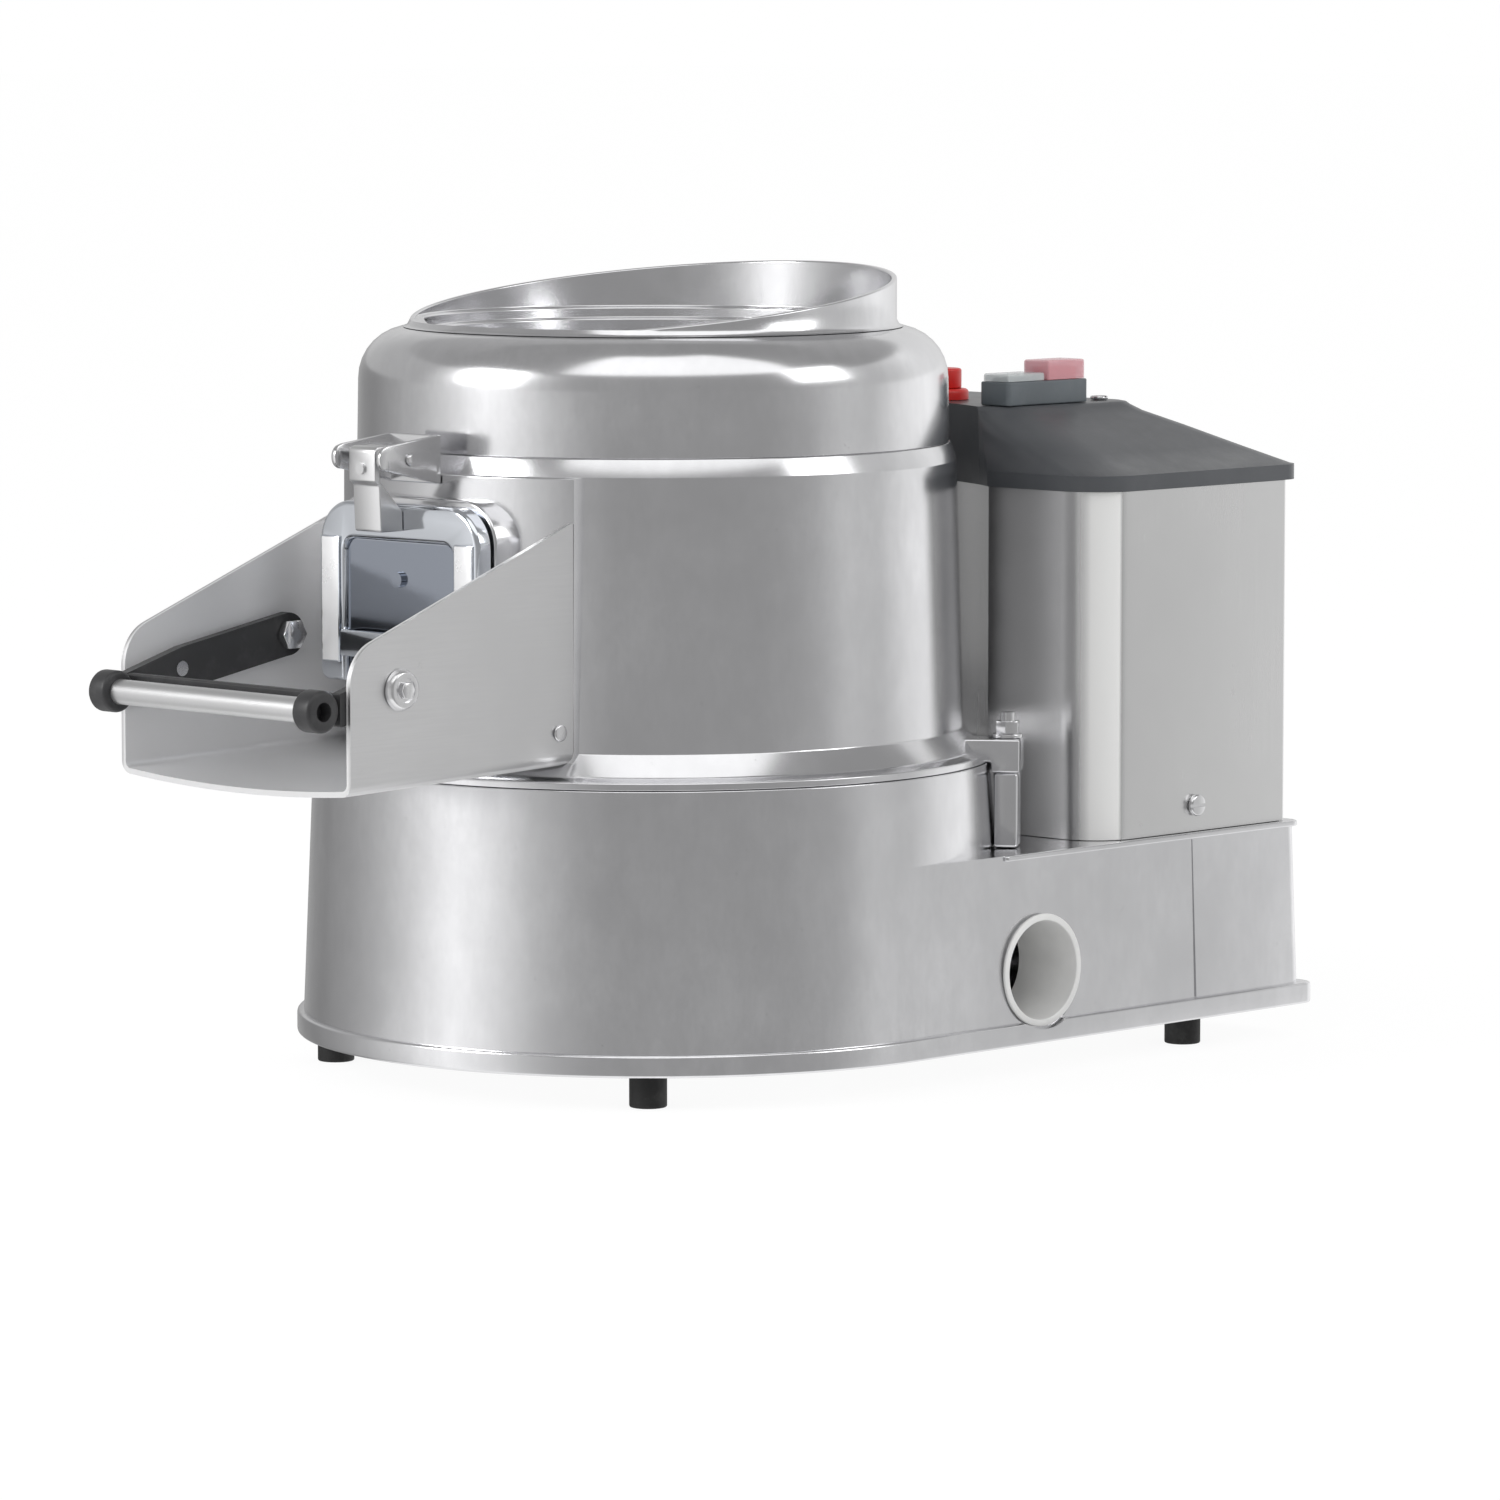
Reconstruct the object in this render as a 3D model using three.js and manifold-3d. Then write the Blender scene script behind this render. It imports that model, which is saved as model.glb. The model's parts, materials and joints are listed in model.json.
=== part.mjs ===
// Countertop potato peeler machine, in millimetres, +Z up.
// The origin lies on the worktop, under the middle of the machine's bounding box.
// The loading chute faces -Y, the motor housing stands at +Y, the drain leaves on +X.
import * as THREE from 'three';
import { mergeVertices } from 'three/addons/utils/BufferGeometryUtils.js';
import Module from 'manifold-3d';

const wasm = await Module();
wasm.setup();

// Fits and facets
const gap = 0.3; // clearance between neighbouring pieces
const overrun = 2; // how far a cut runs past the face that it opens
const largeSides = 40;
const middleSides = 24;
const smallSides = 12;
const hexagonSides = 6;
const arcSteps = 3; // straight steps in each rounded corner

// Base casting: a drum in front, a long tail behind it
const footHeight = 17.5;
const footRadius = 10;
const footStudRadius = 3;
const footStudLength = 14;
const frontFootInset = 17.3;
const frontFootAngle = 46; // degrees from the X axis
const rearFootSideInset = 26.3;
const rearFootEndInset = 80;
const rimHalfWidth = 195;
const rimThickness = 11.8;
const rimOverhang = 3.7;
const rimTailOverhang = 7.1;
const castWall = 5;
const drumDraftRun = 5.8;
const drumLift = 137.7; // above the rim
const tailReach = 330;
const tailDraft = 1.4;
const tailCornerRadius = 9;
const deckLift = 90.9; // above the rim
const deckLip = 2.2;
const deckLipThickness = 3;
const deckLipStart = 78;
const footBossRadius = 19;
const bottomPlateThickness = 2;
const bottomPlateRecess = 1.2;

// Waste chamber and drain
const chamberWall = 7.5;
const chamberLift = 22.4; // above the rim
const gutterDepth = 14;
const gutterWidth = 56;
const beltPassClearance = 4;
const drainY = 104.5;
const drainLift = 27.4; // above the rim
const drainBoreRadius = 28.5;
const drainPipeWall = 3;
const drainCollarRadius = 31.5;
const drainCollarDepth = 3.6;
const drainPipeInset = 6;

// Spindle, disc and belt drive
const spindleRadius = 10;
const spindleInDisc = 4; // how far the spindle reaches into the disc
const spindleHousingHeight = 98;
const spindleHousingRadius = 27;
const spindleFlangeRadius = 40;
const spindleFlangeThickness = 8;
const bearingRadius = 20;
const bearingHeight = 14;
const sealHeight = 6;
const pulleyClearance = 5; // above the bottom plate
const pulleyHeight = 18;
const pulleyRoom = 29; // between the gutter and the driven pulley
const motorPulleyRadius = 22;
const pulleyFlange = 1.5;
const pulleyFlangeThickness = 2.5;
const pulleyHubRadius = 21;
const pulleyWebThickness = 6;
const beltThickness = 5;

const discClearance = 9; // to the bowl
const discLift = 30.5; // above the bowl's flange
const discThickness = 9;
const discHubRadius = 25;
const discHubDepth = 14;
const discWaveRadius = 10;
const discWaveCount = 3;
const discKnobRadius = 15;
const discKnobHeight = 13;
const discKnobCrownShare = 0.6; // of the knob's radius
const discKnobSideShare = 0.7; // of the knob's height
const discRimRise = 3;
const sweeperThickness = 6;
const sweeperDepth = 15;
const sweeperInset = 37; // from the disc's hub

// Motor
const motorClearance = 1.9; // to the cover
const motorFlangeWidth = 4;
const motorFlangeThickness = 9;
const motorHeight = 164;
const motorCowlHeight = 34;
const motorCowlStep = 4;
const motorShaftRadius = 7;
const motorShaftInset = 53; // below the motor's top
const capacitorRadius = 19;
const capacitorHeight = 96;
const capacitorClearance = 15; // to the motor

// Bowl: a tall conical wall on a clamped flange
const bowlWall = 6;
const bowlFlangeInset = 0.5;
const bowlFlangeEdge = 4.4;
const bowlFlangeHeight = 12.9;
const bowlFlangeRun = 16.8;
const bowlHeight = 149; // from the flange to the seam
const bowlTaper = 4.1;
const seamHeight = 9.5;
const seamRun = 3.4;
const spigotDepth = 9;
const spigotWall = 5;
const gasketWidth = 3.6;
const gasketDepth = 2.4;
const padProud = 5;
const bossInset = 26.6; // from the chute's side
const bossSill = 10;
const bossHead = 17;
const bossProud = 6.35;
const bossCorner = 23;
const bossSide = 11.8;
const doorwayLift = 45.5; // above the bowl's flange
const doorwayHeight = 74;
const doorwayCorner = 16;

// Clamps at both sides, towards the tail
const clampAngle = 35; // degrees from the X axis
const clampLugDrop = 5.6; // below the bowl's flange
const clampLugRise = 12.4;
const clampLugClearance = 1.2;
const clampProud = 16.5;
const clampHalfWidth = 11;
const clampScrewRadius = 4;
const clampHeadRadius = 7;
const clampHeadHeight = 7;
const clampWasherRadius = 8.4;
const clampWasherThickness = 2;
const clampScrewDepth = 34;
const clampPostInset = 2.5;

// Hood and its oblique mouth
const hoodInset = 0.6;
const hoodShoulderRadius = 28;
const hoodHeight = 62.2;
const hoodWall = 4;
const hoodTaper = 0.6;
const mouthWall = 3;
const mouthHeight = 15.5;
const mouthSlope = 0.12; // rise of the rim for each unit towards the tail
const mouthStepWidths = [5, 5.5]; // upper and lower step inside the rim
const mouthStepLifts = [4.5, -1.5]; // above the hood's shoulder
const mouthSkirtDepth = 28; // below the hood's shoulder
const hoodSpigotDepth = 11;
const hoodSpigotWall = 3.8;

// Discharge door with its seal
const doorInset = 0.8; // from the frame's side
const doorSill = 8;
const doorHead = 14;
const doorCorner = 22;
const doorProud = 12.2; // in front of its frame
const doorPanelInset = 19.5;
const doorPanelDrop = 20;
const doorPanelDepth = 3;
const doorPanelCorner = 7;
const doorFootCorner = 6;
const doorSealThickness = 2.2;
const doorSealWidth = 7;
const saddleInset = 2.6;
const saddleLift = 14;
const saddleHeight = 14;
const saddleDepth = 6;
const saddleWall = 3;

// Door hinge
const hingeProud = 3.2; // in front of the door's face
const hingeLift = 24; // above the door
const hingeOffset = 5.4; // from the middle, away from the drain
const hingePinRadius = 3;
const hingePinHalfLength = 20.5;
const earClearance = 5.8; // to the strap
const earThickness = 3;
const earDrop = 13.5; // below the pin
const earRise = 12;
const earNose = 6.5;
const earReach = 15; // from the pin to the nose's middle
const earNoseLift = 1;
const hingePlateThickness = 3;
const strapHalfWidth = 10;
const strapReach = 17; // in front of the pin
const strapThickness = 3.6;
const strapEye = 6;
const strapRise = 7;
const strapDrop = 11;
const strapHang = 38;
const strapToeProud = 15.8; // in front of the door's face
const strapToeDepth = 2.4;

// Chute and its fixing screws
const chuteHalfWidth = 88.4;
const chuteSheet = 3;
const chuteLength = 127.8; // in front of the door frame
const chuteDrop = 6.3; // below the bowl's flange
const chuteTilt = 1.8; // degrees, falling away from the bowl
const chuteSag = 3.6;
const chuteBend = 7;
const chuteLipHeight = 72.8;
const chuteRearHeight = 125.8;
const chuteFrontCorner = 24;
const chuteScrewInset = 13.65; // behind the pad
const chuteScrewLift = 16.5; // above the bowl's flange
const chuteScrewRadius = 3;
const chuteScrewHead = 4.4;
const chuteScrewHeadHeight = 1.6;
const chuteLugWidth = 9;
const chuteLugHalfHeight = 7;
const chuteLugNose = 8;

// Handle: two arms, a web and a round grip
const pivotInset = 34.6; // from the chute's front edge
const pivotLift = 53.3; // above the chute's bottom
const pivotBoltRadius = 4;
const pivotWasherRadius = 11.3;
const pivotWasherThickness = 4.2;
const pivotHeadRadius = 4.8;
const pivotHeadHeight = 2.4;
const armThickness = 6;
const armNoseHalfHeight = 8.5;
const armHalfHeight = 11.5;
const armRearReach = 18; // in front of the door's frame
const armRearRise = 13.5; // above the pivot
const armBoltRadius = 3.4;
const armNutRadius = 8.5;
const armNutThickness = 5.4;
const gripProud = 15.2; // in front of the chute
const gripDrop = 8.3; // below the pivot
const gripRadius = 6.6;
const gripWall = 1.6;
const gripCapRadius = 11;
const gripInset = 3.1; // from the chute's side
const gripCapLength = 13;
const gripCapBore = 5;
const gripCapBoreDepth = 8;
const webThickness = 5.5;

// Motor cover: bent sheet on the deck, hollowed round the bowl
const coverInset = 3.7; // from the deck's side
const coverFrontShare = 0.85; // of the drum's radius
const coverRearInset = 15.2; // from the tail's rim
const coverHeight = 190.5;
const coverSheet = 1.5;
const coverCorner = 28;
const coverHollowClearance = 2.5; // to the drum
const coverFlange = 11;
const coverScrewInset = 77.5; // from the cover's rear
const coverScrewLift = 14.8; // above the deck
const coverScrewRadius = 6;
const coverScrewHead = 3.4;
const coverScrewShank = 2.6;
const coverScrewDepth = 7;

// Plastic lid over the motor
const lidOverhang = 2;
const lidRearOverhang = 12;
const lidLip = 8.5;
const lidHeight = 43;
const lidWall = 3;
const lidSideShare = 0.418; // of the cover's half width
const lidFrontShare = 0.047; // of the cover's length
const lidRearShare = 0.258; // of the cover's length
const lidHeightShares = [0, 0.88, 1]; // shares of the roof's rise
const lidInsetShares = [0, 0.93, 1]; // shares of the roof's inward run
const lidScrewRadius = 5;
const lidScrewHeight = 2.2;
const lidScrewShank = 2.2;
const lidScrewDepth = 9;
const lidScrewShares = [[0.86, 0.867], [-0.86, 0.867], [-0.86, 0.075]]; // of the flat's half width and length

// Switches on the lid
const switchInset = 5; // from the flat's side
const switchHalfWidth = 11;
const switchFrontShare = 0.082; // of the flat's length
const switchLengthShare = 0.603; // of the flat's length
const switchHeight = 13;
const buttonMargin = 4.5;
const buttonDepth = 9;
const buttonProud = 2.2;
const stopProud = 7;
const capSheet = 1;
const capMargin = 1.4;
const startCapHeight = 4.2;
const stopCapHeight = 10.6;
const estopX = 25;
const estopCollarRadius = 15;
const estopCollarHeight = 6;
const estopCollarFloor = 1.5;
const estopStemRadius = 10;
const estopStemDepth = 16;
const estopKnobRadius = 11;
const estopKnobHeight = 11.5;
const estopKnobLift = 4.3; // above the collar's floor
const estopShaftRadius = 5;
const estopShaftDepth = 18;

// Base: heights and reaches that follow
const rimBottom = footHeight + gap;
const rimTop = rimBottom + rimThickness;
const bodyHalfWidth = rimHalfWidth - rimOverhang;
const drumTopRadius = bodyHalfWidth - drumDraftRun;
const drumTop = rimTop + drumLift;
const drumRadiusAt = (height) => bodyHalfWidth - (drumDraftRun / drumLift) * (height - rimTop);
const deckTop = rimTop + deckLift;
const deckHalfWidth = drumRadiusAt(deckTop);
const tailBodyReach = tailReach - rimTailOverhang;
const deckReach = tailBodyReach - tailDraft;
const cavityHalfWidth = deckHalfWidth - castWall;
const cavityReach = deckReach - castWall;
const deckSurface = deckTop + gap;
const chamberRadius = drumTopRadius - chamberWall;
const chamberFloor = rimTop + chamberLift;
const chamberSkin = chamberFloor - castWall;
const gutterFloor = chamberFloor - gutterDepth;
const gutterSkin = gutterFloor - castWall;
const gutterInnerRadius = chamberRadius - gutterWidth;
const drivenPulleyRadius = gutterInnerRadius - castWall - pulleyRoom;
const beltPassHalfWidth = drivenPulleyRadius + beltThickness + beltPassClearance;
const drainZ = rimTop + drainLift;
const drainInnerX = Math.sqrt(chamberRadius ** 2 - drainY ** 2) + drainPipeInset;

// Bowl and hood
const flangeBottom = drumTop + gap;
const bowlFlangeTop = flangeBottom + bowlFlangeHeight;
const bowlFootRadius = drumTopRadius - bowlFlangeRun;
const bowlSeam = bowlFlangeTop + bowlHeight;
const bowlSeamRadius = bowlFootRadius - bowlTaper;
const bowlTop = bowlSeam + seamHeight;
const bowlTopRadius = bowlSeamRadius - seamRun;
const padRadius = bowlFootRadius + padProud - bowlTaper / 2;
const clampLugBottom = flangeBottom - clampLugDrop;
const clampLugTop = flangeBottom + clampLugRise;
const clampReach = drumTopRadius + clampProud;
const hoodFootRadius = bowlTopRadius - hoodInset;
const hoodTop = bowlTop + gap + hoodHeight;
const mouthRadius = hoodFootRadius - hoodTaper - hoodShoulderRadius;
const mouthMeanHeight = hoodTop + mouthHeight;

// Door, frame and hinge
const bossHalfWidth = chuteHalfWidth - bossInset;
const bossFront = padRadius + bossProud;
const doorwayHalfWidth = bossHalfWidth - bossSide;
const doorwayBottom = bowlFlangeTop + doorwayLift;
const doorwayTop = doorwayBottom + doorwayHeight;
const bossBottom = doorwayBottom - bossSill;
const bossTop = doorwayTop + bossHead;
const doorHalfWidth = bossHalfWidth - doorInset;
const doorBottom = doorwayBottom - doorSill;
const doorTop = doorwayTop + doorHead;
const doorFront = bossFront + doorProud;
const doorPanelHalfWidth = doorHalfWidth - doorPanelInset;
const doorPanelTop = doorTop - doorPanelDrop;
const saddleHalfWidth = doorPanelHalfWidth - saddleInset;
const saddleBottom = doorBottom + saddleLift;
const saddleTop = saddleBottom + saddleHeight;
const hingeY = doorFront + hingeProud;
const hingeZ = doorTop + hingeLift;
const earInner = strapHalfWidth + earClearance;
const earBottom = hingeZ - earDrop;
const earTop = hingeZ + earRise;
const strapFront = hingeY + strapReach;
const strapTop = hingeZ + strapRise;
const strapKnee = hingeZ - strapDrop;
const strapToe = hingeZ - strapHang;

// Chute and handle
const chuteReach = bossFront + chuteLength;
const chuteBottom = bowlFlangeTop - chuteDrop;
const chuteLipTop = chuteBottom + chuteLipHeight;
const chuteRearTop = chuteBottom + chuteRearHeight;
const chuteScrewY = padRadius - chuteScrewInset;
const chuteScrewZ = bowlFlangeTop + chuteScrewLift;
const chuteLugReach = chuteScrewY + chuteLugNose;
const pivotY = chuteReach - pivotInset;
const pivotZ = chuteBottom + pivotLift;
const armRearY = bossFront + armRearReach;
const armRearZ = pivotZ + armRearRise;
const gripY = chuteReach + gripProud;
const gripZ = pivotZ - gripDrop;
const gripHalfLength = chuteHalfWidth - gripInset;

// Motor cover, lid and switches
const coverHalfWidth = deckHalfWidth - coverInset;
const coverFront = drumTopRadius * coverFrontShare;
const coverRear = tailReach - coverRearInset;
const coverTop = deckTop + coverHeight;
const coverHollowRadius = drumTopRadius + coverHollowClearance;
const coverScrewY = coverRear - coverScrewInset;
const coverScrewZ = deckTop + coverScrewLift;
const coverLength = coverRear - coverFront;
const lidTop = coverTop + lidHeight;
const lidFlatHalfWidth = coverHalfWidth * (1 - lidSideShare);
const lidFlatFront = coverFront + coverLength * lidFrontShare;
const lidFlatRear = coverRear - coverLength * lidRearShare;
const lidFlatLength = lidFlatRear - lidFlatFront;
const switchX = lidFlatHalfWidth - switchInset - switchHalfWidth;
const switchFront = lidFlatFront + lidFlatLength * switchFrontShare;
const switchRear = switchFront + lidFlatLength * switchLengthShare;
const estopY = coverHollowRadius + estopCollarRadius;

// Drive
const pulleyBottom = rimBottom + bottomPlateRecess + bottomPlateThickness + pulleyClearance;
const pulleyTop = pulleyBottom + pulleyHeight;
const motorRoom = coverRear - coverHollowRadius - coverSheet * 2;
const motorFlangeRadius = motorRoom / 2 - motorClearance;
const motorRadius = motorFlangeRadius - motorFlangeWidth;
const motorY = coverHollowRadius + coverSheet + motorRoom / 2;
const motorTop = deckSurface + motorHeight;
const motorShaftTop = motorTop - motorShaftInset;
const capacitorX = motorFlangeRadius + capacitorClearance + capacitorRadius;
const spindleHousingTop = chamberFloor + spindleHousingHeight;
const discRadius = bowlSeamRadius - bowlWall - discClearance;
const discTop = bowlFlangeTop + discLift;
const spindleTop = discTop - discThickness + spindleInDisc;
const sweeperInner = discHubRadius + sweeperInset;

const machineReach = gripY + gripCapRadius;
const drumAxisY = (machineReach - Math.max(tailReach, coverRear + lidRearOverhang)) / 2;

const finishes = {
  cast: { color: 0xb9babc, roughness: 0.38, metalness: 0.9 },
  polished: { color: 0xc9ccd6, roughness: 0.16, metalness: 0.95 },
  sheet: { color: 0xb4b4b5, roughness: 0.42, metalness: 0.85 },
  stainless: { color: 0xb2b0ab, roughness: 0.33, metalness: 0.95 },
  steel: { color: 0x9b9c9f, roughness: 0.3, metalness: 0.95 },
  lidPlastic: { color: 0x43474f, roughness: 0.42, metalness: 0 },
  darkPlastic: { color: 0x3a3a3c, roughness: 0.45, metalness: 0 },
  greyPlastic: { color: 0x7c8086, roughness: 0.4, metalness: 0 },
  palePlastic: { color: 0xd9dadb, roughness: 0.4, metalness: 0 },
  clearPlastic: { color: 0xe3e3e6, roughness: 0.2, metalness: 0 },
  redPlastic: { color: 0xd3202a, roughness: 0.35, metalness: 0 },
  rubber: { color: 0x161617, roughness: 0.8, metalness: 0 },
  abrasive: { color: 0x5b5650, roughness: 0.95, metalness: 0 },
};

const machine = new THREE.Group();
machine.position.y = drumAxisY;

// Turning three.js geometry into solids and back
function solidOf(geometry) {
  const bare = geometry.index ? geometry.toNonIndexed() : geometry.clone();
  bare.deleteAttribute('normal');
  bare.deleteAttribute('uv');
  const merged = mergeVertices(bare);
  const corners = merged.getIndex().array;
  const points = merged.getAttribute('position').array;
  const triangles = [];
  let volume = 0;
  for (let i = 0; i < corners.length; i += 3) {
    const [a, b, c] = [corners[i], corners[i + 1], corners[i + 2]];
    if (a === b || b === c || c === a) continue;
    triangles.push(a, b, c);
    const [p, q, r] = [a, b, c].map((n) => new THREE.Vector3().fromArray(points, n * 3));
    volume += p.dot(q.cross(r));
  }
  if (volume < 0) triangles.reverse();
  const mesh = new wasm.Mesh({
    numProp: 3,
    vertProperties: new Float32Array(points),
    triVerts: new Uint32Array(triangles),
  });
  return new wasm.Manifold(mesh);
}

function geometryOf(solid) {
  const { vertProperties, triVerts } = solid.getMesh();
  const geometry = new THREE.BufferGeometry();
  geometry.setAttribute('position', new THREE.BufferAttribute(vertProperties, 3));
  geometry.setIndex(new THREE.BufferAttribute(triVerts, 1));
  geometry.computeVertexNormals();
  return geometry;
}

function place(name, solid, finish) {
  const material = new THREE.MeshStandardMaterial(finishes[finish]);
  const mesh = new THREE.Mesh(geometryOf(solid), material);
  mesh.name = name;
  machine.add(mesh);
}

// Basic forms, all measured from the drum's axis and the worktop
function block([x0, x1], [y0, y1], [z0, z1]) {
  const geometry = new THREE.BoxGeometry(x1 - x0, y1 - y0, z1 - z0);
  geometry.translate((x0 + x1) / 2, (y0 + y1) / 2, (z0 + z1) / 2);
  return solidOf(geometry);
}

function turned(profile, sides = largeSides) {
  const outline = profile.map(([radius, height]) => new THREE.Vector2(radius, height));
  outline.push(outline[0].clone());
  const geometry = new THREE.LatheGeometry(outline, sides);
  geometry.rotateX(Math.PI / 2);
  return solidOf(geometry);
}

function post(radius, [low, high], x = 0, y = 0, sides = smallSides) {
  const geometry = new THREE.CylinderGeometry(radius, radius, high - low, sides);
  geometry.rotateX(Math.PI / 2);
  geometry.translate(x, y, (low + high) / 2);
  return solidOf(geometry);
}

function crossRod(radius, [x0, x1], y, z, sides = smallSides) {
  const geometry = new THREE.CylinderGeometry(radius, radius, x1 - x0, sides);
  geometry.rotateZ(Math.PI / 2);
  geometry.translate((x0 + x1) / 2, y, z);
  return solidOf(geometry);
}

function ring(inner, outer, [low, high], sides = largeSides) {
  return turned([[inner, low], [outer, low], [outer, high], [inner, high]], sides);
}

function extruded(shape, depth) {
  const geometry = new THREE.ExtrudeGeometry(shape, {
    depth,
    bevelEnabled: false,
    curveSegments: arcSteps,
  });
  return geometry;
}

function flat(shape, [low, high]) {
  return solidOf(extruded(shape, high - low).translate(0, 0, low));
}

const frontBasis = new THREE.Matrix4().makeBasis(
  new THREE.Vector3(1, 0, 0),
  new THREE.Vector3(0, 0, 1),
  new THREE.Vector3(0, -1, 0),
);
const sideBasis = new THREE.Matrix4().makeBasis(
  new THREE.Vector3(0, 1, 0),
  new THREE.Vector3(0, 0, 1),
  new THREE.Vector3(1, 0, 0),
);

// An X-Z outline seen from the front, between two distances in front of the axis
function frontal(shape, [near, far]) {
  return solidOf(extruded(shape, far - near).applyMatrix4(frontBasis).translate(0, -near, 0));
}

// A Y-Z outline seen from the side, between two X places
function sideways(shape, [x0, x1]) {
  return solidOf(extruded(shape, x1 - x0).applyMatrix4(sideBasis).translate(x0, 0, 0));
}

function lofted(levels) {
  const count = levels[0].outline.length;
  const positions = [];
  const faces = [];
  for (const { outline, height } of levels) {
    for (const point of outline) positions.push(point.x, point.y, height);
  }
  for (let level = 0; level + 1 < levels.length; level += 1) {
    for (let i = 0; i < count; i += 1) {
      const here = level * count + i;
      const next = level * count + ((i + 1) % count);
      faces.push(here, next, next + count, here, next + count, here + count);
    }
  }
  const top = (levels.length - 1) * count;
  for (const [a, b, c] of THREE.ShapeUtils.triangulateShape(levels[0].outline, [])) {
    faces.push(c, b, a);
  }
  for (const [a, b, c] of THREE.ShapeUtils.triangulateShape(levels.at(-1).outline, [])) {
    faces.push(top + a, top + b, top + c);
  }
  const geometry = new THREE.BufferGeometry();
  geometry.setAttribute('position', new THREE.Float32BufferAttribute(positions, 3));
  geometry.setIndex(faces);
  return solidOf(geometry);
}

function polygon(points) {
  return new THREE.Shape(points.map(([x, y]) => new THREE.Vector2(x, y)));
}

function roundedBox([x0, x1], [y0, y1], lowerCorner, upperCorner = lowerCorner) {
  const shape = new THREE.Shape();
  shape.moveTo(x0 + lowerCorner, y0);
  shape.lineTo(x1 - lowerCorner, y0);
  shape.absarc(x1 - lowerCorner, y0 + lowerCorner, lowerCorner, -Math.PI / 2, 0);
  shape.lineTo(x1, y1 - upperCorner);
  shape.absarc(x1 - upperCorner, y1 - upperCorner, upperCorner, 0, Math.PI / 2);
  shape.lineTo(x0 + upperCorner, y1);
  shape.absarc(x0 + upperCorner, y1 - upperCorner, upperCorner, Math.PI / 2, Math.PI);
  shape.lineTo(x0, y0 + lowerCorner);
  shape.absarc(x0 + lowerCorner, y0 + lowerCorner, lowerCorner, Math.PI, Math.PI * 1.5);
  return shape;
}

// A plan with a half-round front about the drum's axis and a square tail
function drumPlan(halfWidth, reach, corner) {
  const points = [];
  for (let i = 0; i <= largeSides / 2; i += 1) {
    const angle = Math.PI + (i * Math.PI * 2) / largeSides;
    points.push([halfWidth * Math.cos(angle), halfWidth * Math.sin(angle)]);
  }
  for (const [centreX, start] of [[halfWidth - corner, 0], [corner - halfWidth, Math.PI / 2]]) {
    for (let i = 0; i <= arcSteps; i += 1) {
      const angle = start + (i * Math.PI) / 2 / arcSteps;
      points.push([centreX + corner * Math.cos(angle), reach - corner + corner * Math.sin(angle)]);
    }
  }
  return points;
}

function planLevel(points, height) {
  return { outline: points.map(([x, y]) => new THREE.Vector2(x, y)), height };
}

function turnAboutAxis(solid, degrees) {
  return solid.rotate([0, 0, degrees]);
}

// Base casting
const frontFootReach = bodyHalfWidth - frontFootInset;
const frontFootX = frontFootReach * Math.cos(frontFootAngle * Math.PI / 180);
const frontFootY = frontFootReach * Math.sin(frontFootAngle * Math.PI / 180);
const rearFootX = bodyHalfWidth - rearFootSideInset;
const rearFootY = tailReach - rearFootEndInset;
const footPlaces = {
  front_right: [frontFootX, -frontFootY],
  front_left: [-frontFootX, -frontFootY],
  rear_right: [rearFootX, rearFootY],
  rear_left: [-rearFootX, rearFootY],
};

function castingBody() {
  const drum = turned([[0, rimBottom], [bodyHalfWidth, rimBottom], [bodyHalfWidth, rimTop],
    [drumTopRadius, drumTop], [0, drumTop]]);
  const tailPlan = (halfWidth, reach) => {
    const plan = drumPlan(halfWidth, reach, tailCornerRadius).filter(([, y]) => y > tailCornerRadius);
    return [[-halfWidth, 0], [halfWidth, 0], ...plan];
  };
  const tail = lofted([
    planLevel(tailPlan(bodyHalfWidth, tailBodyReach), rimBottom),
    planLevel(tailPlan(bodyHalfWidth, tailBodyReach), rimTop),
    planLevel(tailPlan(deckHalfWidth, deckReach), deckTop),
  ]);
  const rim = lofted([
    planLevel(drumPlan(rimHalfWidth, tailReach, tailCornerRadius), rimBottom),
    planLevel(drumPlan(rimHalfWidth, tailReach, tailCornerRadius), rimTop),
  ]);
  const lipEdge = deckHalfWidth + deckLip;
  const lipPlan = roundedBox([-lipEdge, lipEdge], [deckLipStart, deckReach + deckLip],
    deckLip, tailCornerRadius);
  const lip = flat(lipPlan, [deckTop - deckLipThickness, deckTop]);
  return drum.add(tail).add(rim).add(lip);
}

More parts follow.
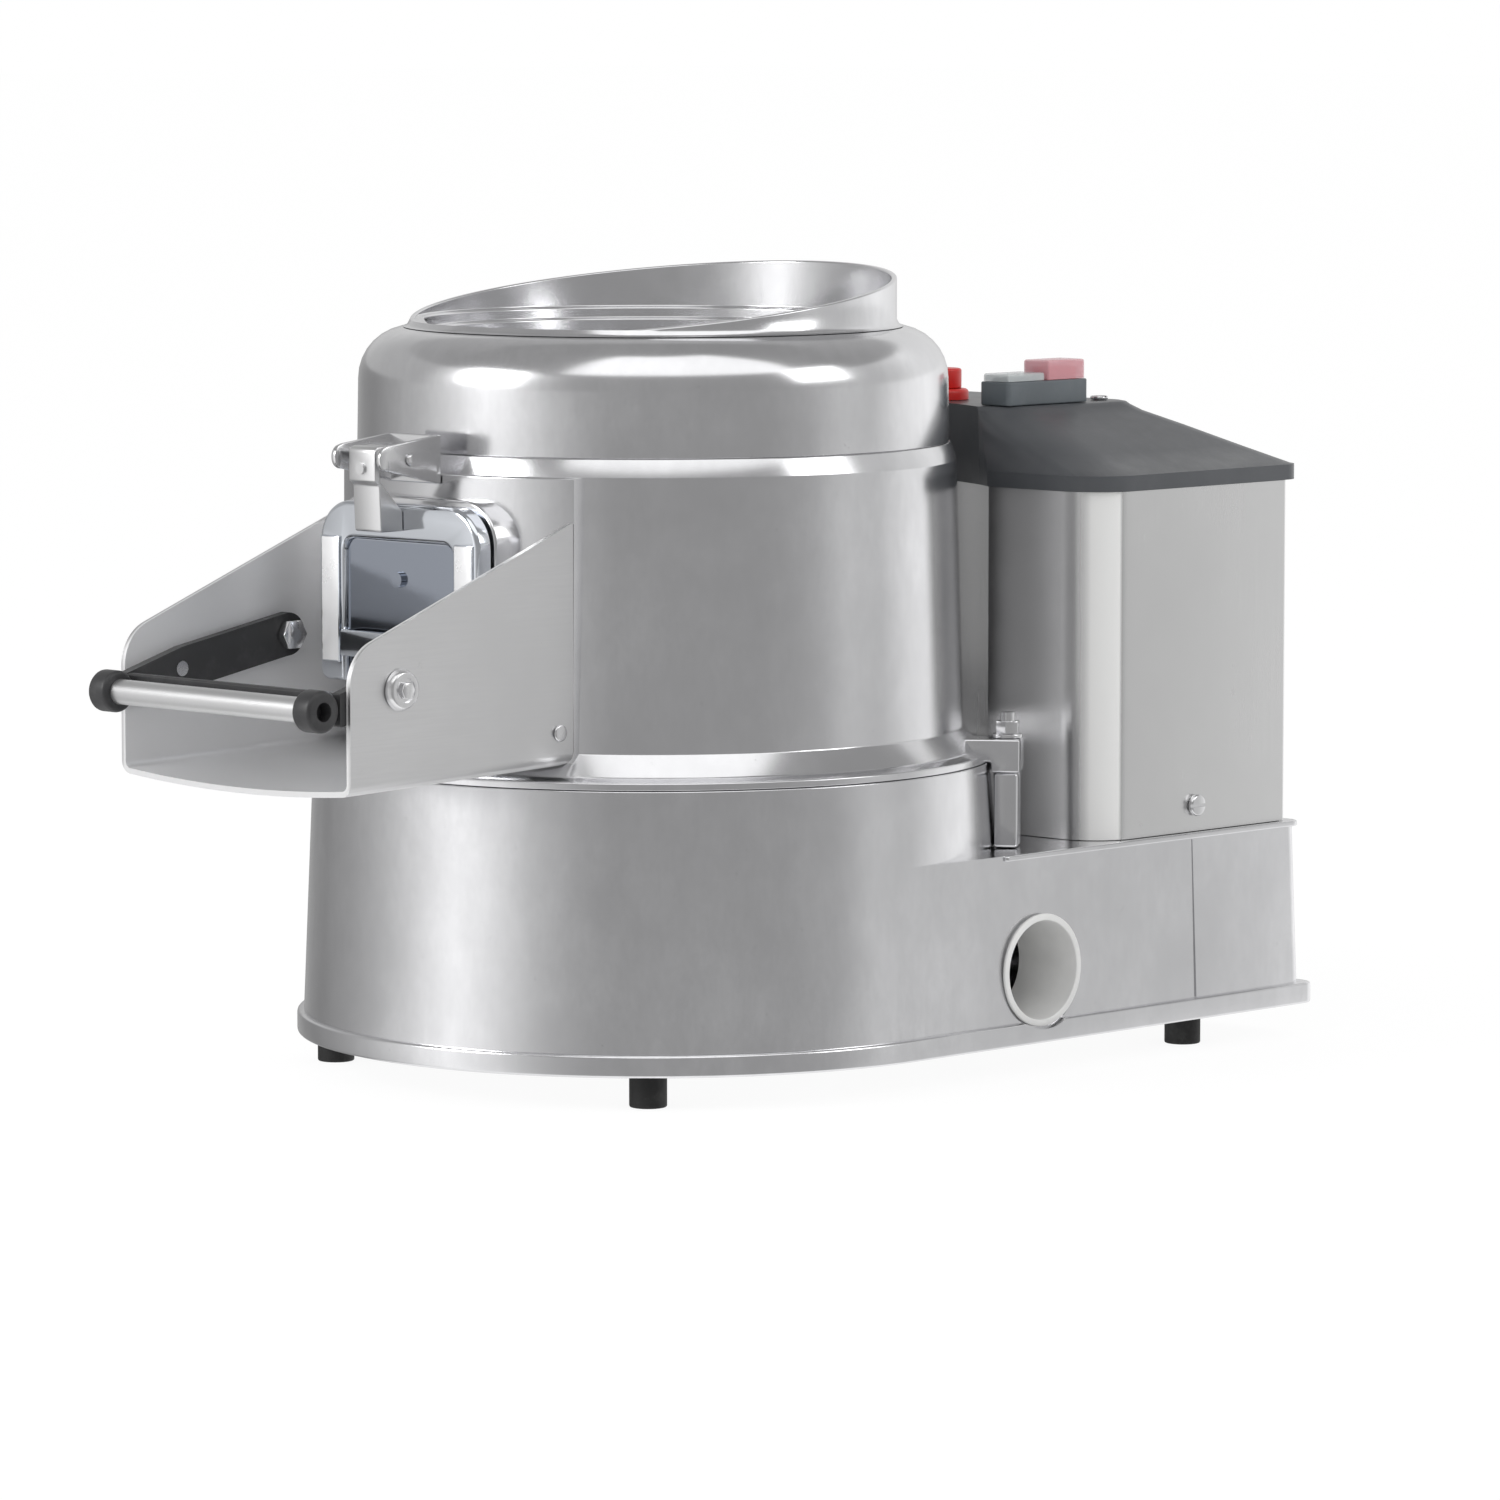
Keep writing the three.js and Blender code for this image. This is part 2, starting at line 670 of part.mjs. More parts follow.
function baseCasting() {
  const outside = castingBody();
  const underside = rimBottom - overrun;
  const cavityPlan = drumPlan(cavityHalfWidth, cavityReach, castWall);
  let cavity = lofted([
    planLevel(cavityPlan, underside),
    planLevel(cavityPlan, deckTop - castWall),
  ]);
  const beltPass = block([-beltPassHalfWidth, beltPassHalfWidth], [0, chamberRadius + castWall],
    [underside, chamberSkin]);
  const shellRadius = chamberRadius + castWall;
  const gutterShell = ring(gutterInnerRadius - castWall, shellRadius, [gutterSkin, chamberFloor]);
  const chamberShell = post(shellRadius, [chamberSkin, drumTop], 0, 0, largeSides)
    .add(gutterShell.subtract(beltPass));
  cavity = cavity.subtract(chamberShell);
  for (const [x, y] of Object.values(footPlaces)) {
    cavity = cavity.subtract(post(footBossRadius, [underside, deckTop], x, y));
  }
  const duct = crossRod(drainBoreRadius + castWall, [gutterInnerRadius, cavityHalfWidth + castWall / 2],
    drainY, drainZ, middleSides);
  cavity = cavity.subtract(duct);
  const widerPass = block([-beltPassHalfWidth - castWall, beltPassHalfWidth + castWall],
    [-castWall, chamberRadius + overrun], [gutterFloor - overrun, chamberFloor + overrun]);
  const gutter = ring(gutterInnerRadius, chamberRadius, [gutterFloor, chamberFloor + overrun])
    .subtract(widerPass);
  const chamber = post(chamberRadius, [chamberFloor, drumTop + overrun], 0, 0, largeSides);
  const drainBore = crossRod(drainBoreRadius + gap, [gutterInnerRadius, rimHalfWidth + overrun],
    drainY, drainZ, middleSides);
  const collarSeat = crossRod(drainCollarRadius + gap, [drumRadiusAt(drainZ), rimHalfWidth + overrun],
    drainY, drainZ, middleSides);
  const spindleHole = post(spindleRadius + overrun, [underside, chamberFloor + overrun]);
  const shaftHole = post(motorShaftRadius + overrun, [underside, deckTop + overrun], 0, motorY);
  let casting = outside.subtract(cavity).subtract(gutter).subtract(chamber)
    .subtract(drainBore).subtract(collarSeat).subtract(spindleHole).subtract(shaftHole);
  for (const [x, y] of Object.values(footPlaces)) {
    const studHole = post(footStudRadius + gap, [underside, footHeight + footStudLength + gap], x, y);
    casting = casting.subtract(studHole);
  }
  return casting;
}

place('base_casting', baseCasting(), 'cast');

function bottomPlate() {
  const low = rimBottom + bottomPlateRecess;
  const high = low + bottomPlateThickness;
  const plan = drumPlan(cavityHalfWidth - gap, cavityReach - gap, castWall);
  let plate = lofted([planLevel(plan, low), planLevel(plan, high)]);
  for (const [x, y] of Object.values(footPlaces)) {
    plate = plate.subtract(post(footBossRadius + gap, [low - overrun, high + overrun], x, y));
  }
  return plate;
}

place('bottom_plate', bottomPlate(), 'stainless');

for (const [corner, [x, y]] of Object.entries(footPlaces)) {
  const pad = post(footRadius, [0, footHeight], x, y);
  const stud = post(footStudRadius, [footHeight / 2, footHeight + footStudLength], x, y);
  place(`foot_${corner}`, pad.add(stud), 'rubber');
}

const drainFace = rimHalfWidth - gap;
const drainPipe = crossRod(drainBoreRadius, [drainInnerX, drainFace], drainY, drainZ, middleSides)
  .add(crossRod(drainCollarRadius, [drainFace - drainCollarDepth, drainFace], drainY, drainZ, middleSides))
  .subtract(crossRod(drainBoreRadius - drainPipeWall, [drainInnerX - overrun, drainFace + overrun],
    drainY, drainZ, middleSides));
place('drain_pipe', drainPipe, 'palePlastic');

// Spindle and its bearings
const housingBottom = chamberFloor + gap;
const housingBore = bearingRadius + gap;
place('spindle_housing', turned([
  [housingBore, housingBottom],
  [spindleFlangeRadius, housingBottom],
  [spindleFlangeRadius, housingBottom + spindleFlangeThickness],
  [spindleHousingRadius, housingBottom + spindleFlangeThickness],
  [spindleHousingRadius, spindleHousingTop],
  [housingBore, spindleHousingTop],
], middleSides), 'cast');
const bearingBore = spindleRadius + gap;
place('lower_bearing', ring(bearingBore, bearingRadius,
  [housingBottom, housingBottom + bearingHeight], middleSides), 'steel');
place('upper_bearing', ring(bearingBore, bearingRadius,
  [spindleHousingTop - bearingHeight, spindleHousingTop], middleSides), 'steel');
const sealBottom = spindleHousingTop + gap;
place('shaft_seal', ring(bearingBore, spindleHousingRadius - gap,
  [sealBottom, sealBottom + sealHeight], middleSides), 'rubber');
place('spindle', post(spindleRadius, [pulleyBottom, spindleTop], 0, 0, middleSides), 'steel');

function pulley(radius, bore) {
  const flange = pulleyFlangeThickness;
  const rim = radius - pulleyWebThickness;
  const webLow = pulleyBottom + (pulleyHeight - pulleyWebThickness) / 2;
  const hub = Math.min(pulleyHubRadius, rim);
  const webHigh = webLow + pulleyWebThickness;
  const outer = [[radius + pulleyFlange, pulleyBottom], [radius + pulleyFlange, pulleyBottom + flange],
    [radius, pulleyBottom + flange], [radius, pulleyTop - flange],
    [radius + pulleyFlange, pulleyTop - flange], [radius + pulleyFlange, pulleyTop]];
  const face = [[bore, pulleyTop], [bore, pulleyBottom]];
  const upperDish = [[rim, pulleyTop], [rim, webHigh], [hub, webHigh], [hub, pulleyTop]];
  const lowerDish = [[hub, pulleyBottom], [hub, webLow], [rim, webLow], [rim, pulleyBottom]];
  const dished = rim > pulleyHubRadius;
  const profile = dished ? [...outer, ...upperDish, ...face, ...lowerDish] : [...outer, ...face];
  return turned(profile, middleSides);
}

place('driven_pulley', pulley(drivenPulleyRadius, bearingBore), 'cast');
place('motor_pulley', pulley(motorPulleyRadius, motorShaftRadius + gap)
  .translate([0, motorY, 0]), 'steel');

// The belt's outline is the common outer tangent loop of two circles
function beltLoop(largeRadius, smallRadius, [low, high]) {
  const lean = Math.asin((largeRadius - smallRadius) / motorY);
  const points = [];
  const half = largeSides / 2;
  for (let i = 0; i <= half; i += 1) {
    const angle = Math.PI - lean + (i * (Math.PI + 2 * lean)) / half;
    points.push([largeRadius * Math.cos(angle), largeRadius * Math.sin(angle)]);
  }
  for (let i = 0; i <= smallSides; i += 1) {
    const angle = lean + (i * (Math.PI - 2 * lean)) / smallSides;
    points.push([smallRadius * Math.cos(angle), motorY + smallRadius * Math.sin(angle)]);
  }
  return lofted([planLevel(points, low), planLevel(points, high)]);
}

const beltLow = pulleyBottom + pulleyFlangeThickness + gap;
const beltHigh = pulleyTop - pulleyFlangeThickness - gap;
const beltOuter = beltLoop(drivenPulleyRadius + beltThickness, motorPulleyRadius + beltThickness,
  [beltLow, beltHigh]);
// The inside is drawn a little wide, so that its flats clear the round pulleys
const beltEase = 1 / Math.cos(Math.PI / largeSides);
const beltInner = beltLoop((drivenPulleyRadius + gap) * beltEase, (motorPulleyRadius + gap) * beltEase,
  [beltLow - overrun, beltHigh + overrun]);
place('drive_belt', beltOuter.subtract(beltInner), 'rubber');

// Abrasive disc with its sweepers
const discBottom = discTop - discThickness;
function abrasiveDisc() {
  let disc = turned([[0, discBottom], [discRadius, discBottom], [discRadius, discTop + discRimRise],
    [discRadius - discThickness, discTop], [0, discTop]]);
  const waveFloor = discTop - discThickness / 2;
  const clearRadius = discKnobRadius + discWaveRadius;
  for (let i = 0; i < discWaveCount; i += 1) {
    const wave = crossRod(discWaveRadius, [clearRadius, discRadius - discThickness],
      0, waveFloor, smallSides);
    const above = wave.subtract(block([0, discRadius], [-discRadius, discRadius],
      [waveFloor - discWaveRadius - overrun, waveFloor]));
    disc = disc.add(turnAboutAxis(above, (i * 360) / discWaveCount));
  }
  const hub = post(discHubRadius, [discBottom - discHubDepth, discTop], 0, 0, middleSides);
  const socket = post(bearingBore, [discBottom - discHubDepth - overrun, spindleTop + gap],
    0, 0, middleSides);
  return disc.add(hub).subtract(socket);
}

place('abrasive_disc', abrasiveDisc(), 'abrasive');
const knobBottom = discTop + gap;
const knobTop = knobBottom + discKnobHeight;
place('disc_knob', turned([
  [0, knobBottom],
  [discKnobRadius, knobBottom],
  [discKnobRadius, knobBottom + discKnobHeight * discKnobSideShare],
  [discKnobRadius * discKnobCrownShare, knobTop],
  [0, knobTop],
], smallSides), 'darkPlastic');
for (const [side, turn] of [['a', 0], ['b', 180]]) {
  const paddle = block([sweeperInner, discRadius], [-sweeperThickness / 2, sweeperThickness / 2],
    [discBottom - gap - sweeperDepth, discBottom - gap]);
  place(`waste_sweeper_${side}`, turnAboutAxis(paddle, turn), 'darkPlastic');
}

// Motor
const motorBore = motorShaftRadius + gap;
const motorFrameTop = motorTop - motorCowlHeight;
place('motor_body', turned([
  [motorBore, deckSurface],
  [motorFlangeRadius, deckSurface],
  [motorFlangeRadius, deckSurface + motorFlangeThickness],
  [motorRadius, deckSurface + motorFlangeThickness],
  [motorRadius, motorFrameTop],
  [motorRadius - motorCowlStep, motorFrameTop],
  [motorRadius - motorCowlStep, motorTop],
  [0, motorTop],
  [0, motorShaftTop + gap],
  [motorBore, motorShaftTop + gap],
], middleSides).translate([0, motorY, 0]), 'steel');
place('motor_shaft', post(motorShaftRadius, [pulleyBottom, motorShaftTop], 0, motorY), 'steel');
place('run_capacitor', post(capacitorRadius, [deckSurface, deckSurface + capacitorHeight],
  -capacitorX, motorY), 'greyPlastic');

// Bowl
const bowlMouthRadius = bowlSeamRadius - bowlWall;
const spigotRadius = chamberRadius - gap;
const clampAngles = { right: clampAngle, left: 180 - clampAngle };
const clampLugInner = drumTopRadius + clampLugClearance;
const clampScrewX = (clampLugInner + clampReach) / 2;

function gasketRing(extra, [low, high]) {
  const middle = (chamberRadius + drumTopRadius) / 2;
  return ring(middle - gasketWidth / 2 - extra, middle + gasketWidth / 2 + extra, [low, high]);
}

const chuteLugOuter = chuteHalfWidth - chuteSheet - gap;
const chuteLugInner = chuteLugOuter - chuteLugWidth;
const chuteLugRoot = Math.sqrt(bowlSeamRadius ** 2 - chuteLugOuter ** 2);
function chuteLug(side) {
  return block(side > 0 ? [chuteLugInner, chuteLugOuter] : [-chuteLugOuter, -chuteLugInner],
    [-chuteLugReach, bowlWall - chuteLugRoot],
    [chuteScrewZ - chuteLugHalfHeight, chuteScrewZ + chuteLugHalfHeight]);
}

function bowl() {
  const flangeRadius = drumTopRadius - bowlFlangeInset;
  const edgeTop = flangeBottom + bowlFlangeEdge;
  let body = turned([
    [spigotRadius, flangeBottom],
    [flangeRadius, flangeBottom],
    [flangeRadius, edgeTop],
    [bowlFootRadius + padProud / 2, bowlFlangeTop - padProud / 4],
    [bowlFootRadius, bowlFlangeTop],
    [bowlSeamRadius, bowlSeam],
    [bowlTopRadius, bowlTop],
    [bowlMouthRadius, bowlTop],
    [bowlFootRadius - bowlWall, bowlFlangeTop],
    [spigotRadius - spigotWall, flangeBottom],
    [spigotRadius - spigotWall, flangeBottom - spigotDepth],
    [spigotRadius, flangeBottom - spigotDepth],
  ]);
  const hollow = turned([
    [0, flangeBottom - spigotDepth - overrun],
    [spigotRadius - spigotWall, flangeBottom - spigotDepth - overrun],
    [spigotRadius - spigotWall, flangeBottom],
    [bowlFootRadius - bowlWall, bowlFlangeTop],
    [bowlMouthRadius, bowlTop],
    [bowlMouthRadius, bowlTop + overrun],
    [0, bowlTop + overrun],
  ]);
  const pad = post(padRadius, [edgeTop, bowlSeam], 0, 0, largeSides)
    .intersect(block([-chuteHalfWidth, chuteHalfWidth], [-padRadius, 0], [edgeTop, bowlSeam]));
  const boss = frontal(roundedBox([-bossHalfWidth, bossHalfWidth], [bossBottom, bossTop], bossCorner),
    [bowlSeamRadius - padProud * 3, bossFront]);
  body = body.add(pad).add(boss);
  for (const side of [1, -1]) body = body.add(chuteLug(side));
  for (const angle of Object.values(clampAngles)) {
    const web = block([bowlFootRadius, clampReach], [-clampHalfWidth, clampHalfWidth],
      [flangeBottom, clampLugTop]);
    const lug = block([clampLugInner, clampReach], [-clampHalfWidth, clampHalfWidth],
      [clampLugBottom, clampLugTop]);
    body = body.add(turnAboutAxis(web.add(lug), angle));
  }
  body = body.subtract(hollow);
  for (const angle of Object.values(clampAngles)) {
    const hole = post(clampScrewRadius + gap, [clampLugBottom - overrun, clampLugTop + overrun],
      clampScrewX, 0);
    body = body.subtract(turnAboutAxis(hole, angle));
  }
  const doorway = frontal(roundedBox([-doorwayHalfWidth, doorwayHalfWidth],
    [doorwayBottom, doorwayTop], doorwayCorner), [bossHalfWidth, bossFront + overrun]);
  const groove = gasketRing(gap, [flangeBottom - overrun, flangeBottom + gasketDepth + gap]);
  body = body.subtract(doorway).subtract(groove);
  const screwHole = crossRod(chuteScrewRadius + gap, [chuteLugInner - overrun, chuteHalfWidth],
    -chuteScrewY, chuteScrewZ);
  return body.subtract(screwHole).subtract(screwHole.mirror([1, 0, 0]));
}

place('bowl', bowl(), 'cast');
place('bowl_gasket', gasketRing(0, [flangeBottom, flangeBottom + gasketDepth]), 'rubber');

for (const [side, angle] of Object.entries(clampAngles)) {
  const postInner = drumRadiusAt(deckTop) + gap;
  const postTop = clampLugBottom - gap;
  const hole = post(clampScrewRadius + gap, [clampLugTop - clampScrewDepth, postTop + overrun],
    clampScrewX, 0);
  const column = block([postInner, clampReach - clampPostInset / 2],
    [clampPostInset - clampHalfWidth, clampHalfWidth - clampPostInset], [deckSurface, postTop]);
  place(`clamp_post_${side}`, turnAboutAxis(column.subtract(hole), angle), 'cast');
  const washerBottom = clampLugTop + gap;
  const washerTop = washerBottom + clampWasherThickness;
  const washer = post(clampWasherRadius, [washerBottom, washerTop], clampScrewX, 0);
  const neck = post(clampScrewRadius, [clampLugTop + gap - clampScrewDepth, washerTop], clampScrewX, 0);
  const head = post(clampHeadRadius, [washerTop, washerTop + clampHeadHeight], clampScrewX, 0,
    hexagonSides);
  place(`clamp_screw_${side}`, turnAboutAxis(washer.add(neck).add(head), angle), 'steel');
}

// Hood
function hood() {
  const foot = bowlTop + gap;
  const shoulderFoot = hoodTop - hoodShoulderRadius;
  const shoulderCentre = mouthRadius;
  const bodyTopRadius = shoulderCentre + hoodShoulderRadius;
  const innerShoulder = hoodShoulderRadius - hoodWall;
  const arc = (radius) => {
    const points = [];
    for (let i = 0; i <= arcSteps; i += 1) {
      const angle = (i * Math.PI) / 2 / arcSteps;
      points.push([shoulderCentre + radius * Math.cos(angle), shoulderFoot + radius * Math.sin(angle)]);
    }
    return points;
  };
  const spigotOuter = bowlMouthRadius - gap;
  const spigotInner = spigotOuter - hoodSpigotWall;
  const rimTopHeight = mouthMeanHeight + mouthSlope * mouthRadius + overrun;
  const mouthBore = mouthRadius - mouthWall;
  const steps = [];
  let bore = mouthBore;
  mouthStepWidths.forEach((width, i) => {
    const height = hoodTop + mouthStepLifts[i];
    steps.push([bore, height], [bore - width, height]);
    bore -= width;
  });
  const profile = [
    [hoodFootRadius, foot],
    [bodyTopRadius, shoulderFoot],
    ...arc(hoodShoulderRadius).slice(1),
    [mouthRadius, rimTopHeight],
    [mouthBore, rimTopHeight],
    ...steps,
    [bore, hoodTop - mouthSkirtDepth],
    [mouthBore, hoodTop - mouthSkirtDepth],
    [mouthBore, hoodTop - hoodWall],
    ...arc(innerShoulder).reverse(),
    [spigotInner, foot],
    [spigotInner, foot - hoodSpigotDepth],
    [spigotOuter, foot - hoodSpigotDepth],
    [spigotOuter, foot],
  ];
  const above = block([-mouthRadius * 2, mouthRadius * 2], [-mouthRadius * 2, mouthRadius * 2],
    [0, mouthRadius]);
  const tilt = THREE.MathUtils.radToDeg(Math.atan(mouthSlope));
  return turned(profile).subtract(above.rotate([tilt, 0, 0]).translate([0, 0, mouthMeanHeight]));
}

place('hood', hood(), 'cast');

// Door, its seal and its hinge
const sealFront = bossFront + gap + doorSealThickness;
const doorBack = sealFront + gap;
const doorSealInner = doorwayHalfWidth + gap;
function doorSeal() {
  const outline = roundedBox([-doorSealInner - doorSealWidth, doorSealInner + doorSealWidth],
    [doorwayBottom - doorSealWidth, doorwayTop + doorSealWidth], doorwayCorner + doorSealWidth);
  const opening = roundedBox([-doorSealInner, doorSealInner], [doorwayBottom, doorwayTop],
    doorwayCorner);
  return frontal(outline, [bossFront + gap, sealFront])
    .subtract(frontal(opening, [bossFront - overrun, sealFront + overrun]));
}

place('door_seal', doorSeal(), 'rubber');

function door() {
  const outline = roundedBox([-doorHalfWidth, doorHalfWidth], [doorBottom, doorTop],
    doorFootCorner, doorCorner);
  const panel = roundedBox([-doorPanelHalfWidth, doorPanelHalfWidth],
    [doorBottom - doorPanelCorner - overrun, doorPanelTop], doorPanelCorner);
  const panelFloor = doorFront - doorPanelDepth;
  const body = frontal(outline, [doorBack, doorFront])
    .subtract(frontal(panel, [panelFloor, doorFront + overrun]));
  const saddle = block([-saddleHalfWidth, saddleHalfWidth],
    [-doorFront - saddleDepth, overrun - panelFloor], [saddleBottom, saddleTop]);
  const slot = block([saddleWall - saddleHalfWidth, saddleHalfWidth - saddleWall],
    [saddleWall - doorFront - saddleDepth, -panelFloor],
    [saddleBottom - overrun, saddleTop + overrun]);
  return body.add(saddle.subtract(slot));
}

place('door', door(), 'polished');

const earOuter = earInner + earThickness;
function hingeBracket() {
  const seat = padRadius + gap;
  const plate = block([-earOuter, earOuter], [-seat - hingePlateThickness, -bowlTopRadius],
    [earBottom, earTop]);
  const earShape = new THREE.Shape();
  earShape.moveTo(-seat - hingePlateThickness / 2, earBottom);
  earShape.lineTo(-seat - hingePlateThickness / 2, earTop);
  earShape.absarc(-hingeY - earReach, hingeZ + earNoseLift, earNose, Math.PI / 2, Math.PI * 1.5);
  let bracket = plate;
  for (const x0 of [earInner, -earOuter]) {
    bracket = bracket.add(sideways(earShape, [x0, x0 + earThickness]));
  }
  return bracket
    .subtract(crossRod(hingePinRadius + gap, [-earOuter - overrun, earOuter + overrun], -hingeY, hingeZ))
    .translate([-hingeOffset, 0, 0])
    .subtract(post(seat, [earBottom - overrun, earTop + overrun], 0, 0, largeSides));
}

place('hinge_bracket', hingeBracket(), 'steel');
place('hinge_pin', crossRod(hingePinRadius, [-hingePinHalfLength, hingePinHalfLength],
  -hingeY, hingeZ).translate([-hingeOffset, 0, 0]), 'steel');

// The strap wraps the pin, drops in front of it and widens into a web on the door's face
function doorStrap() {
  const front = -strapFront;
  const back = front + strapThickness;
  const face = -doorFront - gap;
  const toe = face - strapToeProud;
  const drop = polygon([[front, strapTop], [-hingeY, strapTop], [-hingeY, strapTop - strapThickness],
    [back, strapTop - strapThickness], [back, strapKnee], [face, doorTop - strapThickness],
    [face, strapToe], [toe, strapToe], [toe - strapToeDepth / 2, strapKnee - strapToeDepth],
    [front, strapKnee]]);
  const barrel = earInner - gap;
  return sideways(drop, [-strapHalfWidth, strapHalfWidth])
    .add(crossRod(strapEye, [-barrel, barrel], -hingeY, hingeZ))
    .subtract(crossRod(hingePinRadius + gap, [-barrel - overrun, barrel + overrun], -hingeY, hingeZ))
    .translate([-hingeOffset, 0, 0]);
}

place('door_strap', doorStrap(), 'sheet');

// Chute: one folded sheet, open in front and on top
function chuteSection(inset) {
  const half = chuteHalfWidth - inset;
  const bend = chuteBend - inset;
  const height = chuteRearTop - chuteBottom + chuteBend;
  const shape = new THREE.Shape();
  shape.moveTo(-half, height);
  shape.lineTo(-half, inset + bend);
  shape.absarc(-half + bend, inset + bend, bend, Math.PI, Math.PI * 1.5);
  shape.quadraticCurveTo(0, inset - chuteSag * 2, half - bend, inset);
  shape.absarc(half - bend, inset + bend, bend, Math.PI * 1.5, Math.PI * 2);
  shape.lineTo(half, height);
  return shape;
}

function chute() {
  const length = chuteReach - bowlSeamRadius / 2;
  const trough = frontal(chuteSection(0), [0, length])
    .subtract(frontal(chuteSection(chuteSheet), [-overrun, length + overrun])
      .add(block([chuteSheet - chuteHalfWidth, chuteHalfWidth - chuteSheet],
        [-length - overrun, overrun], [chuteSheet + chuteBend, chuteRearTop])));
  const hung = trough.rotate([chuteTilt, 0, 0])
    .translate([0, length - chuteReach, chuteBottom + length * Math.sin(chuteTilt * Math.PI / 180)]);
  const slope = (chuteRearTop - chuteLipTop) / (chuteReach - bowlSeamRadius);
  const side = new THREE.Shape();
  side.moveTo(-chuteReach, chuteBottom - chuteBend * 2);
  side.lineTo(-chuteReach, chuteLipTop - chuteFrontCorner);
  side.quadraticCurveTo(-chuteReach, chuteLipTop, chuteFrontCorner - chuteReach,
    chuteLipTop + slope * chuteFrontCorner);
  side.lineTo(-bowlSeamRadius / 2, chuteLipTop + slope * (chuteReach - bowlSeamRadius / 2));
  side.lineTo(-bowlSeamRadius / 2, chuteBottom - chuteBend * 2);
  const holes = crossRod(pivotBoltRadius + gap, [-rimHalfWidth, rimHalfWidth], -pivotY, pivotZ)
    .add(crossRod(chuteScrewRadius + gap, [-rimHalfWidth, rimHalfWidth], -chuteScrewY, chuteScrewZ));
  const bowlRoom = turned([
    [0, 0],
    [drumTopRadius + gap, 0],
    [drumTopRadius + gap, flangeBottom + bowlFlangeEdge + gap],
    [padRadius + gap, bowlFlangeTop + gap],
    [padRadius + gap, bowlTop],
    [0, bowlTop],
  ], largeSides);
  return hung.intersect(sideways(side, [-rimHalfWidth, rimHalfWidth])).subtract(holes)
    .subtract(bowlRoom);
}

place('chute', chute(), 'sheet');

// Handle
const armOuter = chuteHalfWidth - chuteSheet - gap;
const armInner = armOuter - armThickness;
const webFront = gripY - gripCapRadius - gap;
function handleYoke() {
  const half = armHalfHeight;
  const shape = new THREE.Shape();
  shape.moveTo(-webFront, gripZ - armNoseHalfHeight);
  shape.lineTo(-pivotY, pivotZ - half);
  shape.lineTo(-armRearY, armRearZ - half);
  shape.absarc(-armRearY, armRearZ, half, -Math.PI / 2, Math.PI / 2);
  shape.lineTo(-pivotY, pivotZ + half);
  shape.lineTo(-webFront, gripZ + armNoseHalfHeight);
  let yoke = block([-armOuter, armOuter], [-webFront, webThickness - webFront],
    [gripZ - armNoseHalfHeight, gripZ + armNoseHalfHeight]);
  for (const x0 of [armInner, -armOuter]) {
    yoke = yoke.add(sideways(shape, [x0, x0 + armThickness]));
  }
  const reach = [-armOuter - overrun, armOuter + overrun];
  return yoke.subtract(crossRod(pivotBoltRadius + gap, reach, -pivotY, pivotZ))
    .subtract(crossRod(armBoltRadius + gap, reach, -armRearY, armRearZ));
}

place('handle_yoke', handleYoke(), 'darkPlastic');

const capInner = gripHalfLength - gripCapLength;
place('grip_tube', crossRod(gripRadius, [gap - capInner, capInner - gap], -gripY, gripZ)
  .subtract(crossRod(gripRadius - gripWall, [-capInner - overrun, capInner + overrun],
    -gripY, gripZ)), 'sheet');

// Pieces that are alike on both sides are built on +X and mirrored for -X
function placePair(name, solid, finish) {
  place(`${name}_right`, solid, finish);
  place(`${name}_left`, solid.rotate([0, 0, 180]).mirror([0, 1, 0]), finish);
}

const capBore = [gripHalfLength - gripCapBoreDepth, gripHalfLength + overrun];
placePair('grip_cap', crossRod(gripCapRadius, [capInner, gripHalfLength], -gripY, gripZ)
  .subtract(crossRod(gripCapBore, capBore, -gripY, gripZ)), 'darkPlastic');

const plateFace = chuteHalfWidth + gap;
const pivotWasherFace = plateFace + pivotWasherThickness;
placePair('pivot_bolt', crossRod(pivotWasherRadius, [plateFace, pivotWasherFace], -pivotY, pivotZ)
  .add(crossRod(pivotBoltRadius, [armInner, pivotWasherFace], -pivotY, pivotZ))
  .add(crossRod(pivotHeadRadius, [pivotWasherFace, pivotWasherFace + pivotHeadHeight],
    -pivotY, pivotZ, hexagonSides)), 'steel');
placePair('arm_bolt', crossRod(armNutRadius, [armInner - gap - armNutThickness, armInner - gap],
  -armRearY, armRearZ, hexagonSides)
  .add(crossRod(armBoltRadius, [armInner - gap - armNutThickness, armOuter - gap],
    -armRearY, armRearZ)), 'steel');
placePair('chute_screw', crossRod(chuteScrewRadius,
  [armOuter - chuteLugWidth, plateFace], -chuteScrewY, chuteScrewZ)
  .add(crossRod(chuteScrewHead, [plateFace, plateFace + chuteScrewHeadHeight],
    -chuteScrewY, chuteScrewZ)), 'steel');

// Motor cover
function coverPlan(inset) {
  return roundedBox([inset - coverHalfWidth, coverHalfWidth - inset],
    [coverFront + inset, coverRear - inset], coverCorner - inset, coverSheet * 2);
}

function hollowedPlan(inset, [low, high]) {
  return flat(coverPlan(inset), [low, high])
    .subtract(post(coverHollowRadius + inset, [low - overrun, high + overrun], 0, 0, largeSides));
}

function motorCover() {
  const flangeLow = coverTop - coverSheet;
  const walls = hollowedPlan(0, [deckSurface, coverTop])
    .subtract(hollowedPlan(coverSheet, [deckSurface - overrun, flangeLow]));
  const opening = hollowedPlan(coverFlange, [flangeLow - overrun, coverTop + overrun]);
  return walls.subtract(opening)
    .subtract(crossRod(coverScrewShank + gap, [-rimHalfWidth, rimHalfWidth], coverScrewY, coverScrewZ));
}

